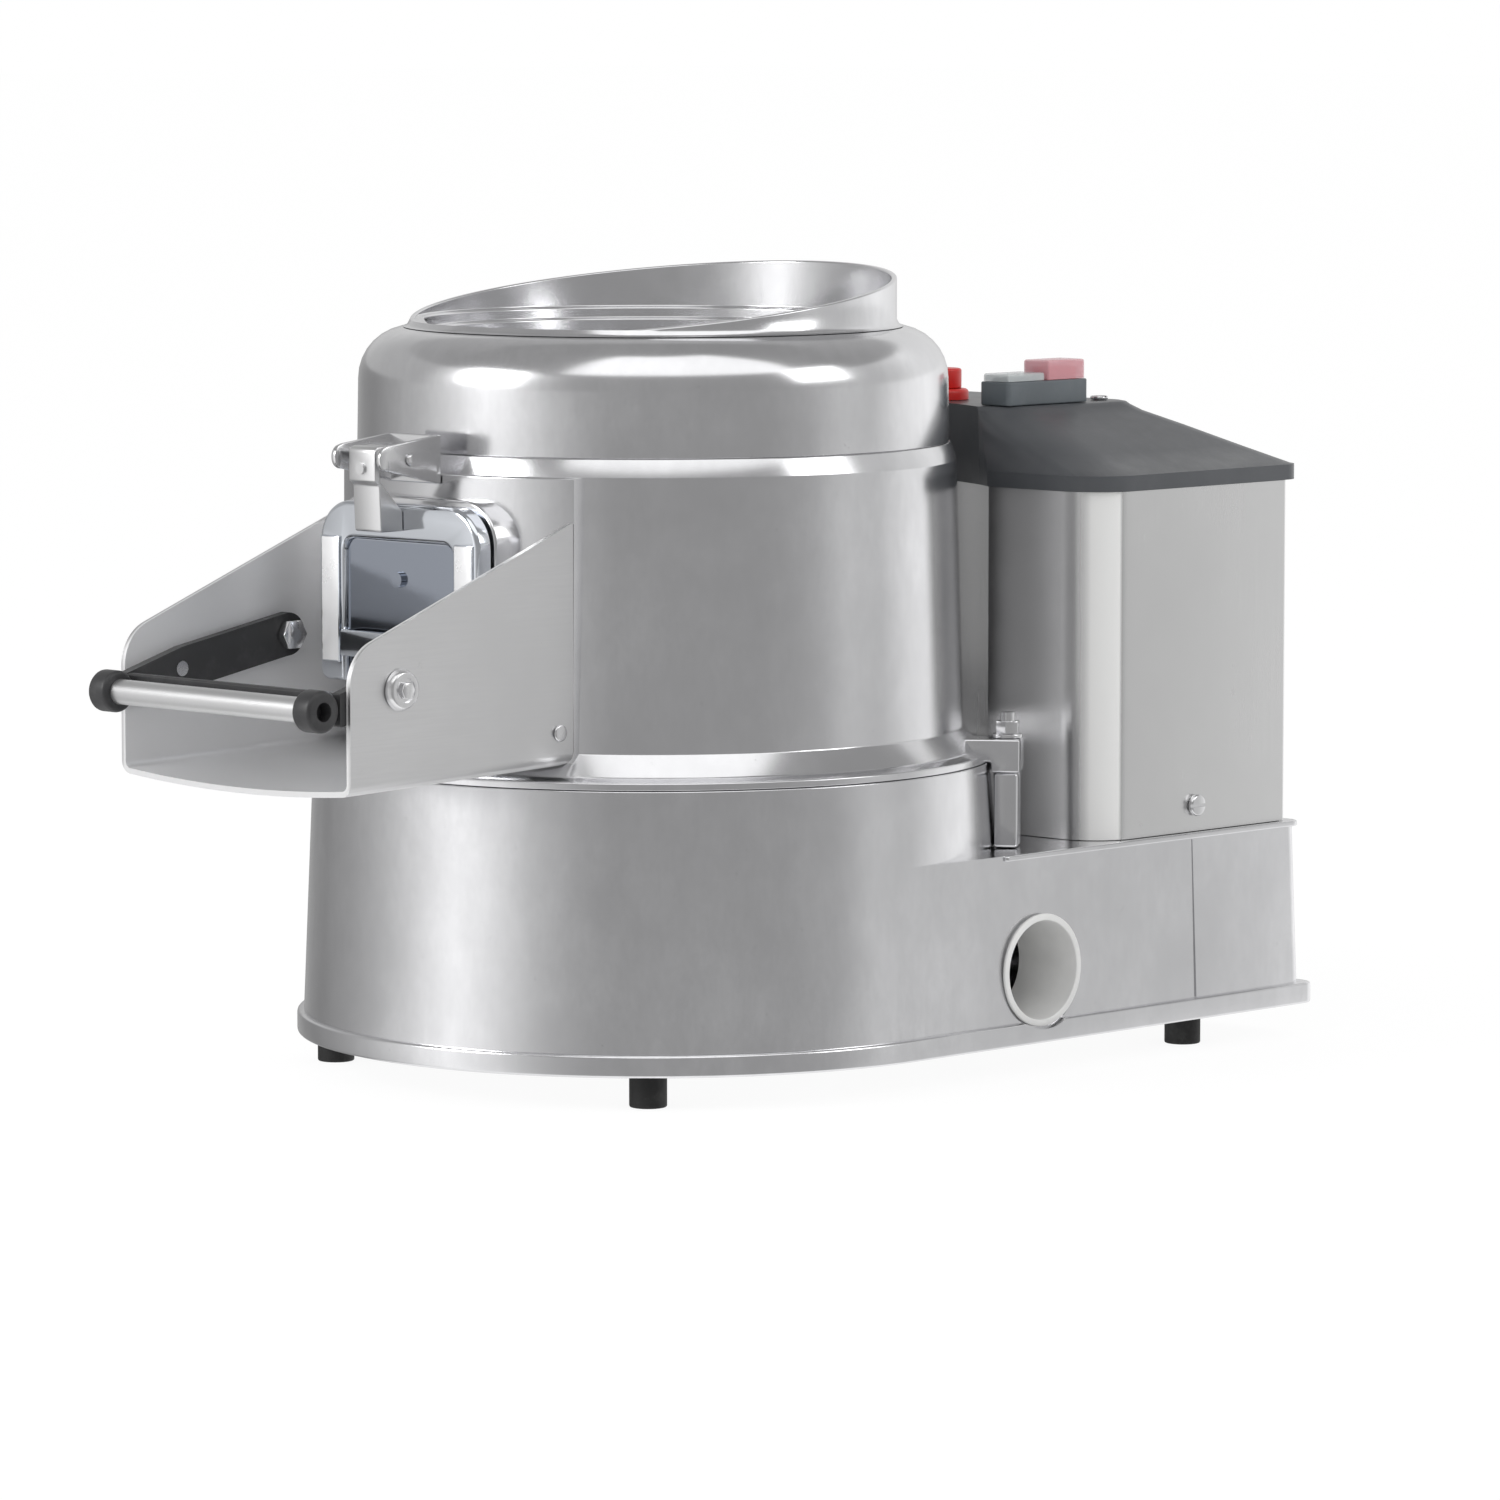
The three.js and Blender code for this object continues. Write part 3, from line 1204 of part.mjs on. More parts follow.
place('motor_cover', motorCover(), 'stainless');
const coverScrewFace = coverHalfWidth + gap;
placePair('cover_screw', crossRod(coverScrewRadius, [coverScrewFace, coverScrewFace + coverScrewHead],
  coverScrewY, coverScrewZ)
  .add(crossRod(coverScrewShank, [coverScrewFace - coverScrewDepth, coverScrewFace],
    coverScrewY, coverScrewZ)), 'steel');

// Lid
const lidFoot = coverTop + gap;
const lidEave = lidFoot + lidLip;
const lidScrews = lidScrewShares.map(([across, along]) => [lidFlatHalfWidth * across,
  lidFlatFront + lidFlatLength * along]);

function lidLoft(inset, foot, rearOverhang) {
  const eave = {
    half: coverHalfWidth + lidOverhang - inset,
    front: coverFront - lidOverhang + inset,
    rear: coverRear + rearOverhang - inset,
  };
  const flatTop = {
    half: lidFlatHalfWidth - inset,
    front: lidFlatFront + inset,
    rear: lidFlatRear - inset,
  };
  const between = (key, share) => eave[key] + (flatTop[key] - eave[key]) * share;
  const corner = coverCorner - inset;
  const levelAt = (height, share) => {
    const half = between('half', share);
    const plan = roundedBox([-half, half], [between('front', share), between('rear', share)],
      corner, corner / 2);
    return { outline: plan.getPoints(arcSteps), height };
  };
  const roof = lidTop - inset - lidEave;
  return lofted([levelAt(foot, 0),
    ...lidHeightShares.map((share, i) => levelAt(lidEave + roof * share, lidInsetShares[i]))]);
}

function motorLid() {
  const hollow = post(coverHollowRadius - lidOverhang / 2, [lidFoot - overrun, lidTop + overrun],
    0, 0, largeSides);
  const innerHollow = post(coverHollowRadius + lidWall, [lidFoot - overrun * 2, lidTop + overrun],
    0, 0, largeSides);
  const inside = lidLoft(lidWall, lidFoot - overrun, lidOverhang).subtract(innerHollow);
  let lid = lidLoft(0, lidFoot, lidRearOverhang).subtract(hollow).subtract(inside);
  lid = lid.subtract(post(estopStemRadius + gap, [lidEave, lidTop + overrun], estopX, estopY));
  for (const [x, y] of lidScrews) {
    lid = lid.subtract(post(lidScrewShank + gap, [lidEave, lidTop + overrun], x, y));
  }
  return lid;
}

place('motor_lid', motorLid(), 'lidPlastic');
lidScrews.forEach(([x, y], index) => {
  const head = post(lidScrewRadius, [lidTop + gap, lidTop + gap + lidScrewHeight], x, y);
  const shank = post(lidScrewShank, [lidTop - lidScrewDepth, lidTop + gap + lidScrewHeight / 2], x, y);
  place(`lid_screw_${index + 1}`, head.add(shank), 'steel');
});

// Start and stop switch
const switchBottom = lidTop + gap;
const switchTop = switchBottom + switchHeight;
const switchSpan = [switchX - switchHalfWidth, switchX + switchHalfWidth];
const switchMiddle = (switchFront + switchRear) / 2;
const buttons = {
  start: { y: [switchFront, switchMiddle], proud: buttonProud, cap: startCapHeight, finish: 'greyPlastic' },
  stop: { y: [switchMiddle, switchRear], proud: stopProud, cap: stopCapHeight, finish: 'redPlastic' },
};

function inward([low, high], margin) {
  return [low + margin, high - margin];
}

let switchHousing = flat(roundedBox(switchSpan, [switchFront, switchRear], capMargin * 2),
  [switchBottom, switchTop]);
for (const [name, { y, proud, cap, finish }] of Object.entries(buttons)) {
  const well = [switchTop - buttonDepth, switchTop + overrun];
  switchHousing = switchHousing.subtract(block(inward(switchSpan, buttonMargin),
    inward(y, buttonMargin), well));
  const key = block(inward(switchSpan, buttonMargin + gap), inward(y, buttonMargin + gap),
    [switchTop - buttonDepth / 2, switchTop + proud]);
  place(`${name}_button`, key, finish);
  const capLow = switchTop + gap;
  const capHigh = capLow + cap;
  const cover = block(inward(switchSpan, capMargin), inward(y, capMargin), [capLow, capHigh])
    .subtract(block(inward(switchSpan, capMargin + capSheet), inward(y, capMargin + capSheet),
      [capLow - overrun, capHigh - capSheet]));
  place(`${name}_button_cover`, cover, 'clearPlastic');
}
place('switch_housing', switchHousing, 'greyPlastic');

// Emergency stop
const estopFoot = lidTop + gap;
const estopCollarTop = estopFoot + estopCollarHeight;
const estopWell = post(estopShaftRadius + gap, [estopFoot - estopStemDepth - overrun,
  estopCollarTop + overrun], estopX, estopY);
const estopFloor = estopFoot + estopCollarFloor;
place('estop_collar', post(estopCollarRadius, [estopFoot, estopCollarTop], estopX, estopY)
  .subtract(post(estopKnobRadius + gap, [estopFloor, estopCollarTop + overrun], estopX, estopY))
  .add(post(estopStemRadius, [estopFoot - estopStemDepth, estopFloor], estopX, estopY))
  .subtract(estopWell), 'redPlastic');
const knobLow = estopFloor + estopKnobLift;
place('estop_knob', post(estopKnobRadius, [knobLow, knobLow + estopKnobHeight], estopX, estopY)
  .add(post(estopShaftRadius, [estopCollarTop - estopShaftDepth / 2, knobLow + estopKnobHeight / 2],
    estopX, estopY)), 'redPlastic');

export default machine;
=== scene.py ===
import json
import math
import bmesh
import bpy
from mathutils import Matrix, Vector


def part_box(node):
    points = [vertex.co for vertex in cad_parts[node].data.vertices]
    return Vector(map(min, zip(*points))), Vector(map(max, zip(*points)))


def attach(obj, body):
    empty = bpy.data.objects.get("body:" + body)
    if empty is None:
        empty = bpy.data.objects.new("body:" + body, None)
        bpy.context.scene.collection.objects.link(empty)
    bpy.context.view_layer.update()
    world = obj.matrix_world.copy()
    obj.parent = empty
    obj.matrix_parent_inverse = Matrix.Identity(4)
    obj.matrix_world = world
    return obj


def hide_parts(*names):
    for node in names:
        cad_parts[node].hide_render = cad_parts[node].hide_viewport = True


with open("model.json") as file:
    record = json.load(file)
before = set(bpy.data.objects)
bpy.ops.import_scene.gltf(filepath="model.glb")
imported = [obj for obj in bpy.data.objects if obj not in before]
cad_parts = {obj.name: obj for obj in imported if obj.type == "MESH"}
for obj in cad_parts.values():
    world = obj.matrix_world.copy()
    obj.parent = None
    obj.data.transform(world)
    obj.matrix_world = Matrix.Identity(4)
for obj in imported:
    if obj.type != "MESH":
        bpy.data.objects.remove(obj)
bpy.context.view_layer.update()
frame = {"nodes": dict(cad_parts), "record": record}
scene = bpy.context.scene

# every piece is drawn in millimetres from the drum's axis, then moved into the frame
low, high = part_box("spindle")
drumAxis = Vector(((low.x + high.x) / 2, (low.y + high.y) / 2, 0))
intoFrame = Matrix.Translation(drumAxis) @ Matrix.Scale(0.001, 4)
print("frame loaded, drum axis at", tuple(round(v, 4) for v in drumAxis))


# shader graphs: a wrapped socket takes part in plain arithmetic
class Wire:
    def __init__(self, graph, socket):
        self.graph = graph
        self.socket = socket

    def maths(self, operation, first, second):
        return self.graph.node("ShaderNodeMath", {"operation": operation}, {0: first, 1: second})

    def __add__(self, other):
        return self.maths("ADD", self, other)

    def __radd__(self, other):
        return self.maths("ADD", other, self)

    def __sub__(self, other):
        return self.maths("SUBTRACT", self, other)

    def __rsub__(self, other):
        return self.maths("SUBTRACT", other, self)

    def __mul__(self, other):
        return self.maths("MULTIPLY", self, other)

    def __rmul__(self, other):
        return self.maths("MULTIPLY", other, self)

    def __pow__(self, other):
        return self.maths("POWER", self, other)


class Graph:
    def __init__(self, tree):
        self.tree = tree
        tree.nodes.clear()

    def node(self, kind, settings=None, inputs=None, output=None):
        made = self.tree.nodes.new(kind)
        for key, value in (settings or {}).items():
            if key == "stops":
                self.setStops(made.color_ramp, value)
            else:
                setattr(made, key, value)
        for key, value in (inputs or {}).items():
            socket = made.inputs[key] if isinstance(key, int) else next(
                s for s in made.inputs if s.enabled and s.name == key)
            if isinstance(value, Wire):
                self.tree.links.new(value.socket, socket)
            else:
                socket.default_value = value
        outputs = [s for s in made.outputs if s.enabled]
        if not outputs:
            return None
        chosen = outputs[0] if output is None else next(s for s in outputs if s.name == output)
        return Wire(self, chosen)

    def setStops(self, ramp, stops):
        while len(ramp.elements) < len(stops):
            ramp.elements.new(1)
        for element, (place, colour) in zip(ramp.elements, stops):
            element.position = place
            element.color = (*colour, 1)

    def objectPlace(self):
        return self.node("ShaderNodeTexCoord", {}, {}, "Object")

    def stretched(self, scale=(1, 1, 1)):
        return self.node("ShaderNodeMapping", {}, {"Vector": self.objectPlace(), "Scale": scale})

    def along(self, axis):
        return self.node("ShaderNodeSeparateXYZ", {}, {"Vector": self.objectPlace()}, axis)

    def noise(self, scale, detail, roughness=0.5, stretch=(1, 1, 1)):
        return self.node("ShaderNodeTexNoise", {}, {
            "Vector": self.stretched(stretch), "Scale": scale, "Detail": detail, "Roughness": roughness})

    def ramp(self, value, stops):
        return self.node("ShaderNodeValToRGB", {"stops": stops}, {"Fac": value}, "Color")

    def spread(self, value, fromLow, fromHigh, toLow=0, toHigh=1):
        return self.node("ShaderNodeMapRange", {"clamp": True}, {
            "Value": value, "From Min": fromLow, "From Max": fromHigh, "To Min": toLow, "To Max": toHigh})

    def blend(self, factor, first, second):
        return self.node("ShaderNodeMix", {"data_type": "RGBA"}, {"Factor": factor, "A": first, "B": second})

    def bump(self, height, strength, distance):
        return self.node("ShaderNodeBump", {}, {"Height": height, "Strength": strength, "Distance": distance})

    def principled(self, inputs):
        self.finish(self.node("ShaderNodeBsdfPrincipled", {}, inputs))

    def finish(self, shader):
        self.node("ShaderNodeOutputMaterial", {}, {"Surface": shader})


def newGraph(name, colour):
    material = bpy.data.materials.new(name)
    material.use_nodes = True
    material.diffuse_color = (*colour, 1)
    return material, Graph(material.node_tree)


def rgba(colour, level=1):
    return tuple(min(1, c * level) for c in colour) + (1,)


# metals: mottled colour, scratched roughness and a fine grain; a zone changes colour, metallic and roughness
def metal(name, colour, rough, grainScale, mottle, spots, spotScale, grain=(1, 1, 1), roughSwing=0.06,
          bumpStrength=0.02, zones=()):
    material, graph = newGraph(name, colour)
    broad = graph.noise(9, 4, 0.6)
    fine = graph.noise(grainScale, 4, 0.7, grain)
    speck = graph.noise(spotScale, 5, 0.75)
    pale = graph.spread(broad, 0.3, 0.7)
    shade = graph.blend(pale, rgba(colour, 1 - mottle), rgba(colour, 1 + mottle / 2))
    shade = graph.blend(graph.spread(fine, 0.35, 0.65, 0, 0.5), shade, rgba(colour, 1 - mottle))
    dark = graph.spread(speck, 0.66, 0.74, 0, spots)
    shade = graph.blend(dark, shade, rgba(colour, 0.45))
    roughness = rough + (fine - 0.5) * roughSwing + (broad - 0.5) * roughSwing + dark * 0.25
    metallic = 1.0
    # a zone's colour is laid over the metal's own; the bright zones are painted highlights
    for zone, zoneColour, zoneMetallic, zoneRough in zones:
        inside = inZone(graph, zone)
        shade = graph.blend(inside, shade, rgba(zoneColour))
        roughness = roughness + inside * zoneRough
        metallic = metallic - inside * (1 - zoneMetallic)
    graph.principled({
        "Base Color": shade,
        "Metallic": metallic,
        "Roughness": roughness,
        "Normal": graph.bump(fine * 0.6 + speck * 0.4, bumpStrength, 0.0006),
    })
    return material


# plastics and rubber: moulded skin with a faint texture, dust and rubbed patches
def moulded(name, colour, rough, texture=260, bumpStrength=0.08, dust=0.06, dustColour=(0.6, 0.6, 0.58)):
    material, graph = newGraph(name, colour)
    mottle = 0.12
    skin = graph.noise(texture, 3, 0.6)
    broad = graph.noise(14, 4, 0.6)
    worn = graph.noise(55, 6, 0.7)
    pale = graph.spread(broad, 0.3, 0.7)
    shade = graph.blend(pale, rgba(colour, 1 - mottle), rgba(colour, 1 + mottle))
    shade = graph.blend(graph.spread(worn, 0.5, 0.8, 0, dust), shade, rgba(dustColour))
    graph.principled({
        "Base Color": shade,
        "Roughness": rough + (worn - 0.5) * 0.25,
        "Normal": graph.bump(skin, bumpStrength, 0.0005),
    })
    return material


def clearPlastic(name, colour, alpha):
    material, graph = newGraph(name, colour)
    smear = graph.noise(60, 4, 0.6)
    graph.principled({
        "Base Color": graph.blend(graph.spread(smear, 0.4, 0.7, 0, 0.4), rgba(colour), rgba(colour, 0.8)),
        "Roughness": graph.spread(smear, 0.3, 0.7, 0.12, 0.3),
        "Alpha": graph.spread(smear, 0.3, 0.7, alpha, alpha + 0.1),
    })
    return material


def abrasiveGrit(name, colour, soil):
    material, graph = newGraph(name, colour)
    cells = {"Vector": graph.stretched(), "Scale": 420.0}
    grit = graph.node("ShaderNodeTexVoronoi", {}, cells, "Distance")
    patch = graph.noise(25, 5, 0.7)
    shade = graph.blend(graph.spread(grit, 0.1, 0.6), rgba(colour, 1.5), rgba(colour, 0.5))
    shade = graph.blend(graph.spread(patch, 0.45, 0.75, 0, 0.4), shade, rgba(soil))
    graph.principled({
        "Base Color": shade,
        "Roughness": graph.spread(grit, 0, 0.8, 0.6, 0.95),
        "Normal": graph.bump(grit, 0.6, 0.001),
    })
    return material


# edges of a finish's zones, in metres: what is measured ("aside" from the middle plane, "y" from the
# drum's axis or "z" from the floor), the two places between which the zone fades, and 1 where it
# begins there or 0 where it ends
zoneEdges = {
    # the sunk panel is coloured a darker blue-grey: partly its own darker finish, partly a painted darker
    # reflection
    "sunkPanel": [("aside", 0.0411, 0.0417, 0), ("z", 0.2934, 0.2944, 0), ("y", -0.1901, -0.1897, 1)],
    # painted highlight: near-white on the door's raised bars
    "raisedBars": [("aside", 0.0447, 0.0449, 1), ("aside", 0.0571, 0.0573, 0), ("z", 0.2287, 0.2289, 1),
                   ("z", 0.2941, 0.2943, 0), ("y", -0.1913, -0.1911, 0)],
    "chuteInside": [("aside", 0.0866, 0.0872, 0), ("y", -0.3075, -0.306, 1), ("z", 0.2985, 0.2995, 0)],
    # painted highlight: a bright band on the cover's rounded front corners
    "rubbedBend": [("aside", 0.1668, 0.1728, 1), ("y", 0.1762, 0.1779, 0)],
}


def inZone(graph, name):
    x, y, z = (graph.along(axis) for axis in "XYZ")
    measured = {"aside": (x * x) ** 0.5, "y": y - drumAxis.y, "z": z}
    inside = 1
    for what, first, last, after in zoneEdges[name]:
        inside = inside * graph.spread(measured[what], first, last, 1 - after, after)
    return inside


# a zone is its name, colour, metallic and added roughness
finishes = {
    "cast": metal(
        "satin cast aluminium", (0.83, 0.83, 0.845), rough=0.18, grainScale=60, mottle=0.13, spots=0.35,
        spotScale=220, grain=(1, 1, 0.5), bumpStrength=0.008),
    "polished": metal(
        "polished door metal", (0.80, 0.83, 0.88), rough=0.12, grainScale=90, mottle=0.08, spots=0.2,
        spotScale=60, roughSwing=0.05, bumpStrength=0.015,
        # the door's raised bars get a painted highlight, near-white and less metallic
        zones=[("sunkPanel", (0.38, 0.41, 0.47), 1, 0), ("raisedBars", (0.96, 0.96, 0.97), 0.3, 0.15)]),
    "sheet": metal(
        "light grey sheet", (0.80, 0.80, 0.805), rough=0.36, grainScale=600, mottle=0.06, spots=0.15,
        spotScale=50, grain=(1, 0.04, 1),
        zones=[("chuteInside", (0.84, 0.84, 0.845), 0.55, 0.05)]),
    "stainless": metal(
        "brushed stainless", (0.785, 0.785, 0.785), rough=0.26, grainScale=900, mottle=0.05, spots=0.1,
        spotScale=50, grain=(1, 1, 0.02),
        # the cover's bends get a painted highlight: near-white colour and less metallic
        zones=[("rubbedBend", (0.97, 0.97, 0.96), 0.25, 0.1)]),
    "steel": metal(
        "bright steel", (0.82, 0.82, 0.83), rough=0.20, grainScale=300, mottle=0.08, spots=0.2,
        spotScale=60),
    "lid_plastic": moulded(
        "slate lid plastic", (0.085, 0.090, 0.098), 0.34, texture=420, bumpStrength=0.05, dust=0.02),
    "dark_plastic": moulded(
        "dark handle plastic", (0.035, 0.035, 0.037), 0.42, texture=300, bumpStrength=0.12, dust=0.05),
    "grey_plastic": moulded("grey switch plastic", (0.13, 0.15, 0.165), 0.40),
    "pale_plastic": moulded("pale pipe plastic", (0.84, 0.84, 0.83), 0.45),
    "clear_plastic": clearPlastic("clear button cover", (0.80, 0.84, 0.85), 0.42),
    "red_plastic": moulded(
        "signal red plastic", (0.78, 0.022, 0.018), 0.35, texture=200, bumpStrength=0.04, dust=0.02,
        dustColour=(0.9, 0.5, 0.5)),
    "rubber": moulded(
        "black rubber", (0.012, 0.012, 0.012), 0.62, texture=200, bumpStrength=0.15, dust=0.08),
    "abrasive": abrasiveGrit("abrasive grit", (0.16, 0.14, 0.12), soil=(0.30, 0.25, 0.18)),
}
redClear = clearPlastic("red tinted button cover", (0.93, 0.50, 0.55), 0.5)
print("finishes ready:", len(finishes))


# outlines: corners are (u, v, radius), and each is replaced by an arc of that radius
def softPath(corners, steps=6):
    path = []
    count = len(corners)
    for i, corner in enumerate(corners):
        here = Vector(corner[:2])
        radius = corner[2] if len(corner) > 2 else 0
        if radius <= 0:
            path.append(here)
            continue
        before = (Vector(corners[i - 1][:2]) - here).normalized()
        after = (Vector(corners[(i + 1) % count][:2]) - here).normalized()
        half = before.angle(after) / 2
        reach = radius / math.tan(half)
        centre = here + (before + after).normalized() * (radius / math.sin(half))
        start = here + before * reach - centre
        end = here + after * reach - centre
        turn = math.atan2(start.x * end.y - start.y * end.x, start.dot(end))
        for k in range(steps + 1):
            path.append(centre + Matrix.Rotation(turn * k / steps, 2) @ start)
    return path


# corners of a rectangle, with other radii at its far end where farSoft is given
def oblong(left, right, near, far, soft=0, farSoft=None):
    farSoft = soft if farSoft is None else farSoft
    return [(left, near, soft), (right, near, soft), (right, far, farSoft), (left, far, farSoft)]


def centred(half, near, far, soft, farSoft=None):
    return oblong(-half, half, near, far, soft, farSoft)


def across(half):
    return (-half, half)


# a stretch on the right, or its mirror on the left
def onSide(side, near, far):
    return (near, far) if side > 0 else (-far, -near)


def swept(bm, geometry, steps, degrees=360):
    bmesh.ops.spin(bm, geom=geometry, cent=(0, 0, 0), axis=(0, 0, 1), angle=math.radians(degrees),
                   steps=steps, use_merge=degrees == 360)


# shapes in millimetres from the drum's axis
def lathe(corners, steps=160, arc=5):
    bm = bmesh.new()
    points = [bm.verts.new((max(p.x, 0), 0, p.y)) for p in softPath(corners, arc)]
    edges = [bm.edges.new((a, b)) for a, b in zip(points, points[1:] + points[:1])]
    swept(bm, points + edges, steps)
    bmesh.ops.remove_doubles(bm, verts=bm.verts, dist=0.002)
    bmesh.ops.dissolve_degenerate(bm, edges=bm.edges, dist=0.001)
    bmesh.ops.recalc_face_normals(bm, faces=bm.faces)
    return bm


# an outline in the plan, seen from the front or from the side, between two depths
def slab(corners, plane, near, far, arc=8):
    bm = bmesh.new()
    put = {
        "top": lambda u, v, w: (u, v, w),
        "front": lambda u, v, w: (u, w, v),
        "side": lambda u, v, w: (w, u, v),
    }[plane]
    face = bm.faces.new([bm.verts.new(put(p.x, p.y, near)) for p in softPath(corners, arc)])
    grown = bmesh.ops.extrude_face_region(bm, geom=[face])
    verts = [v for v in grown["geom"] if isinstance(v, bmesh.types.BMVert)]
    bmesh.ops.translate(bm, verts=verts, vec=Vector(put(0, 0, far)) - Vector(put(0, 0, near)))
    bmesh.ops.recalc_face_normals(bm, faces=bm.faces)
    return bm


def brick(x, y, z):
    bm = bmesh.new()
    size = (x[1] - x[0], y[1] - y[0], z[1] - z[0])
    middle = ((x[0] + x[1]) / 2, (y[0] + y[1]) / 2, (z[0] + z[1]) / 2)
    bmesh.ops.create_cube(bm, size=1, matrix=Matrix.Translation(middle) @ Matrix.Diagonal((*size, 1)))
    return bm


def rod(radius, axis, centre, ends, sides=48, farRadius=None):
    bm = bmesh.new()
    turn = {"x": Matrix.Rotation(math.pi / 2, 4, "Y"), "y": Matrix.Rotation(-math.pi / 2, 4, "X"),
            "z": Matrix.Identity(4)}[axis]
    middle = (ends[0] + ends[1]) / 2
    where = {"x": (middle, *centre), "y": (centre[0], middle, centre[1]), "z": (*centre, middle)}[axis]
    bmesh.ops.create_cone(bm, cap_ends=True, segments=sides, radius1=radius,
                          radius2=radius if farRadius is None else farRadius, depth=ends[1] - ends[0],
                          matrix=Matrix.Translation(where) @ turn)
    return bm


def spun(bm, degrees, axis="Z"):
    turn = Matrix.Rotation(math.radians(degrees), 3, axis)
    bmesh.ops.rotate(bm, verts=bm.verts, cent=(0, 0, 0), matrix=turn)
    return bm


def moved(bm, by):
    bmesh.ops.translate(bm, verts=bm.verts, vec=by)
    return bm


def mirrored(bm):
    copy = bm.copy()
    bmesh.ops.scale(copy, verts=copy.verts, vec=(-1, 1, 1))
    bmesh.ops.reverse_faces(copy, faces=copy.faces)
    return copy


def gather(*parts):
    mesh = bpy.data.meshes.new("gathered")
    whole = bmesh.new()
    for part in parts:
        part.to_mesh(mesh)
        whole.from_mesh(mesh)
        part.free()
    bpy.data.meshes.remove(mesh)
    return whole


def softened(bm, width, segments=2, sharper=28, pick=None):
    edges = [e for e in bm.edges if e.is_manifold and math.degrees(e.calc_face_angle(0)) > sharper
             and (pick is None or pick(e))]
    bmesh.ops.bevel(bm, geom=edges, offset=width, offset_type="OFFSET", affect="EDGES", segments=segments,
                    profile=0.5, clamp_overlap=True, material=-1)
    return bm


def hexHead(radius, axis, centre, ends):
    return softened(rod(radius, axis, centre, ends, 6), 0.5, 2, 40)


def placed(name, data):
    made = bpy.data.objects.new(name, data)
    scene.collection.objects.link(made)
    return made


def linked(name, bm):
    mesh = bpy.data.meshes.new(name)
    bm.to_mesh(mesh)
    bm.free()
    return placed(name, mesh)


def discarded(made):
    mesh = made.data
    bpy.data.objects.remove(made)
    bpy.data.meshes.remove(mesh)


# joins and cuts, done one after another on the same solid
def carved(bm, *steps):
    base = linked("temp", bm)
    for operation, tool in steps:
        other = linked("temp", tool)
        boolean = base.modifiers.new("carve", "BOOLEAN")
        boolean.operation = operation
        boolean.solver = "EXACT"
        boolean.object = other
        bpy.context.view_layer.update()
        result = bpy.data.meshes.new_from_object(base.evaluated_get(bpy.context.evaluated_depsgraph_get()))
        base.modifiers.clear()
        old = base.data
        base.data = result
        bpy.data.meshes.remove(old)
        discarded(other)
    out = bmesh.new()
    out.from_mesh(base.data)
    discarded(base)
    bmesh.ops.remove_doubles(out, verts=out.verts, dist=0.003)
    bmesh.ops.dissolve_degenerate(out, edges=out.edges, dist=0.002)
    return out


def join(tool):
    return ("UNION", tool)


def cut(tool):
    return ("DIFFERENCE", tool)


def keep(tool):
    return ("INTERSECT", tool)


def drill(*sizes):
    return cut(rod(*sizes))


def piece(name, bm, slot, body, *nodes, crease=32, material=None):
    bmesh.ops.transform(bm, matrix=intoFrame, verts=bm.verts)
    made = linked(name, bm)
    made.data.materials.append(material or finishes[slot])
    made.data.polygons.foreach_set("use_smooth", [True] * len(made.data.polygons))
    made.data.set_sharp_from_angle(angle=math.radians(crease))
    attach(made, body)
    if nodes:
        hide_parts(*nodes)


# the piece on the right and its mirror on the left
def pair(name, bm, slot, body, node):
    left = mirrored(bm)
    piece(name + "Right", bm, slot, body, node + "_right")
    piece(name + "Left", left, slot, body, node + "_left")


# base casting: a drum in front and a long hollow tail behind
casting = {
    "rim": 195, "rimLow": 17.8, "rimHigh": 29.6, "body": 191.3, "drumTop": 167.3, "drumTopRadius": 185.5,
    "tail": 330, "tailBody": 322.9, "tailCorner": 9, "deck": 120.5, "deckHalf": 187.47, "deckSetBack": 1.4,
    "lipHalf": 189.67, "lipFront": 78, "lipRear": 323.7, "lipLow": 117.5,
    "wall": 5, "below": 10, "cavityRear": 316.5, "chamber": 178, "chamberFloor": 52, "gutterInner": 122,
    "gutterFloor": 38, "beltPass": 97,
    "drain": (104.5, 57), "drainBore": 28.8, "drainRecess": 31.8, "recessFrom": 190.1, "duct": 33.5,
    "spindleHole": 12, "motorHole": 9, "motor": (0, 251.4), "footPillar": 19, "footHole": 3.3,
    "partingLine": ((185, 191.65), (231, 232), (30, 117)), "partingLean": 3.65,
}
footPlaces = {"foot_front_right": (120.87, -125.17), "foot_front_left": (-120.87, -125.17),
              "foot_rear_right": (165, 250), "foot_rear_left": (-165, 250)}
middle = (0, 0)


def planCorners(half, reach, corner, steps=72):
    front = []
    for i in range(steps + 1):
        angle = math.pi + math.pi * i / steps
        front.append((half * math.cos(angle), half * math.sin(angle), 0))
    return front + [(half, reach, corner), (-half, reach, corner)]


# the tail leans in towards its deck
def tailBlock():
    half = casting["body"]
    tail = slab(centred(half, 0, casting["tailBody"], 0, casting["tailCorner"]), "top",
                casting["rimLow"], casting["deck"])
    for v in tail.verts:
        if v.co.z > 100:
            v.co.x *= casting["deckHalf"] / half
            if v.co.y > 200:
                v.co.y -= casting["deckSetBack"]
    return tail


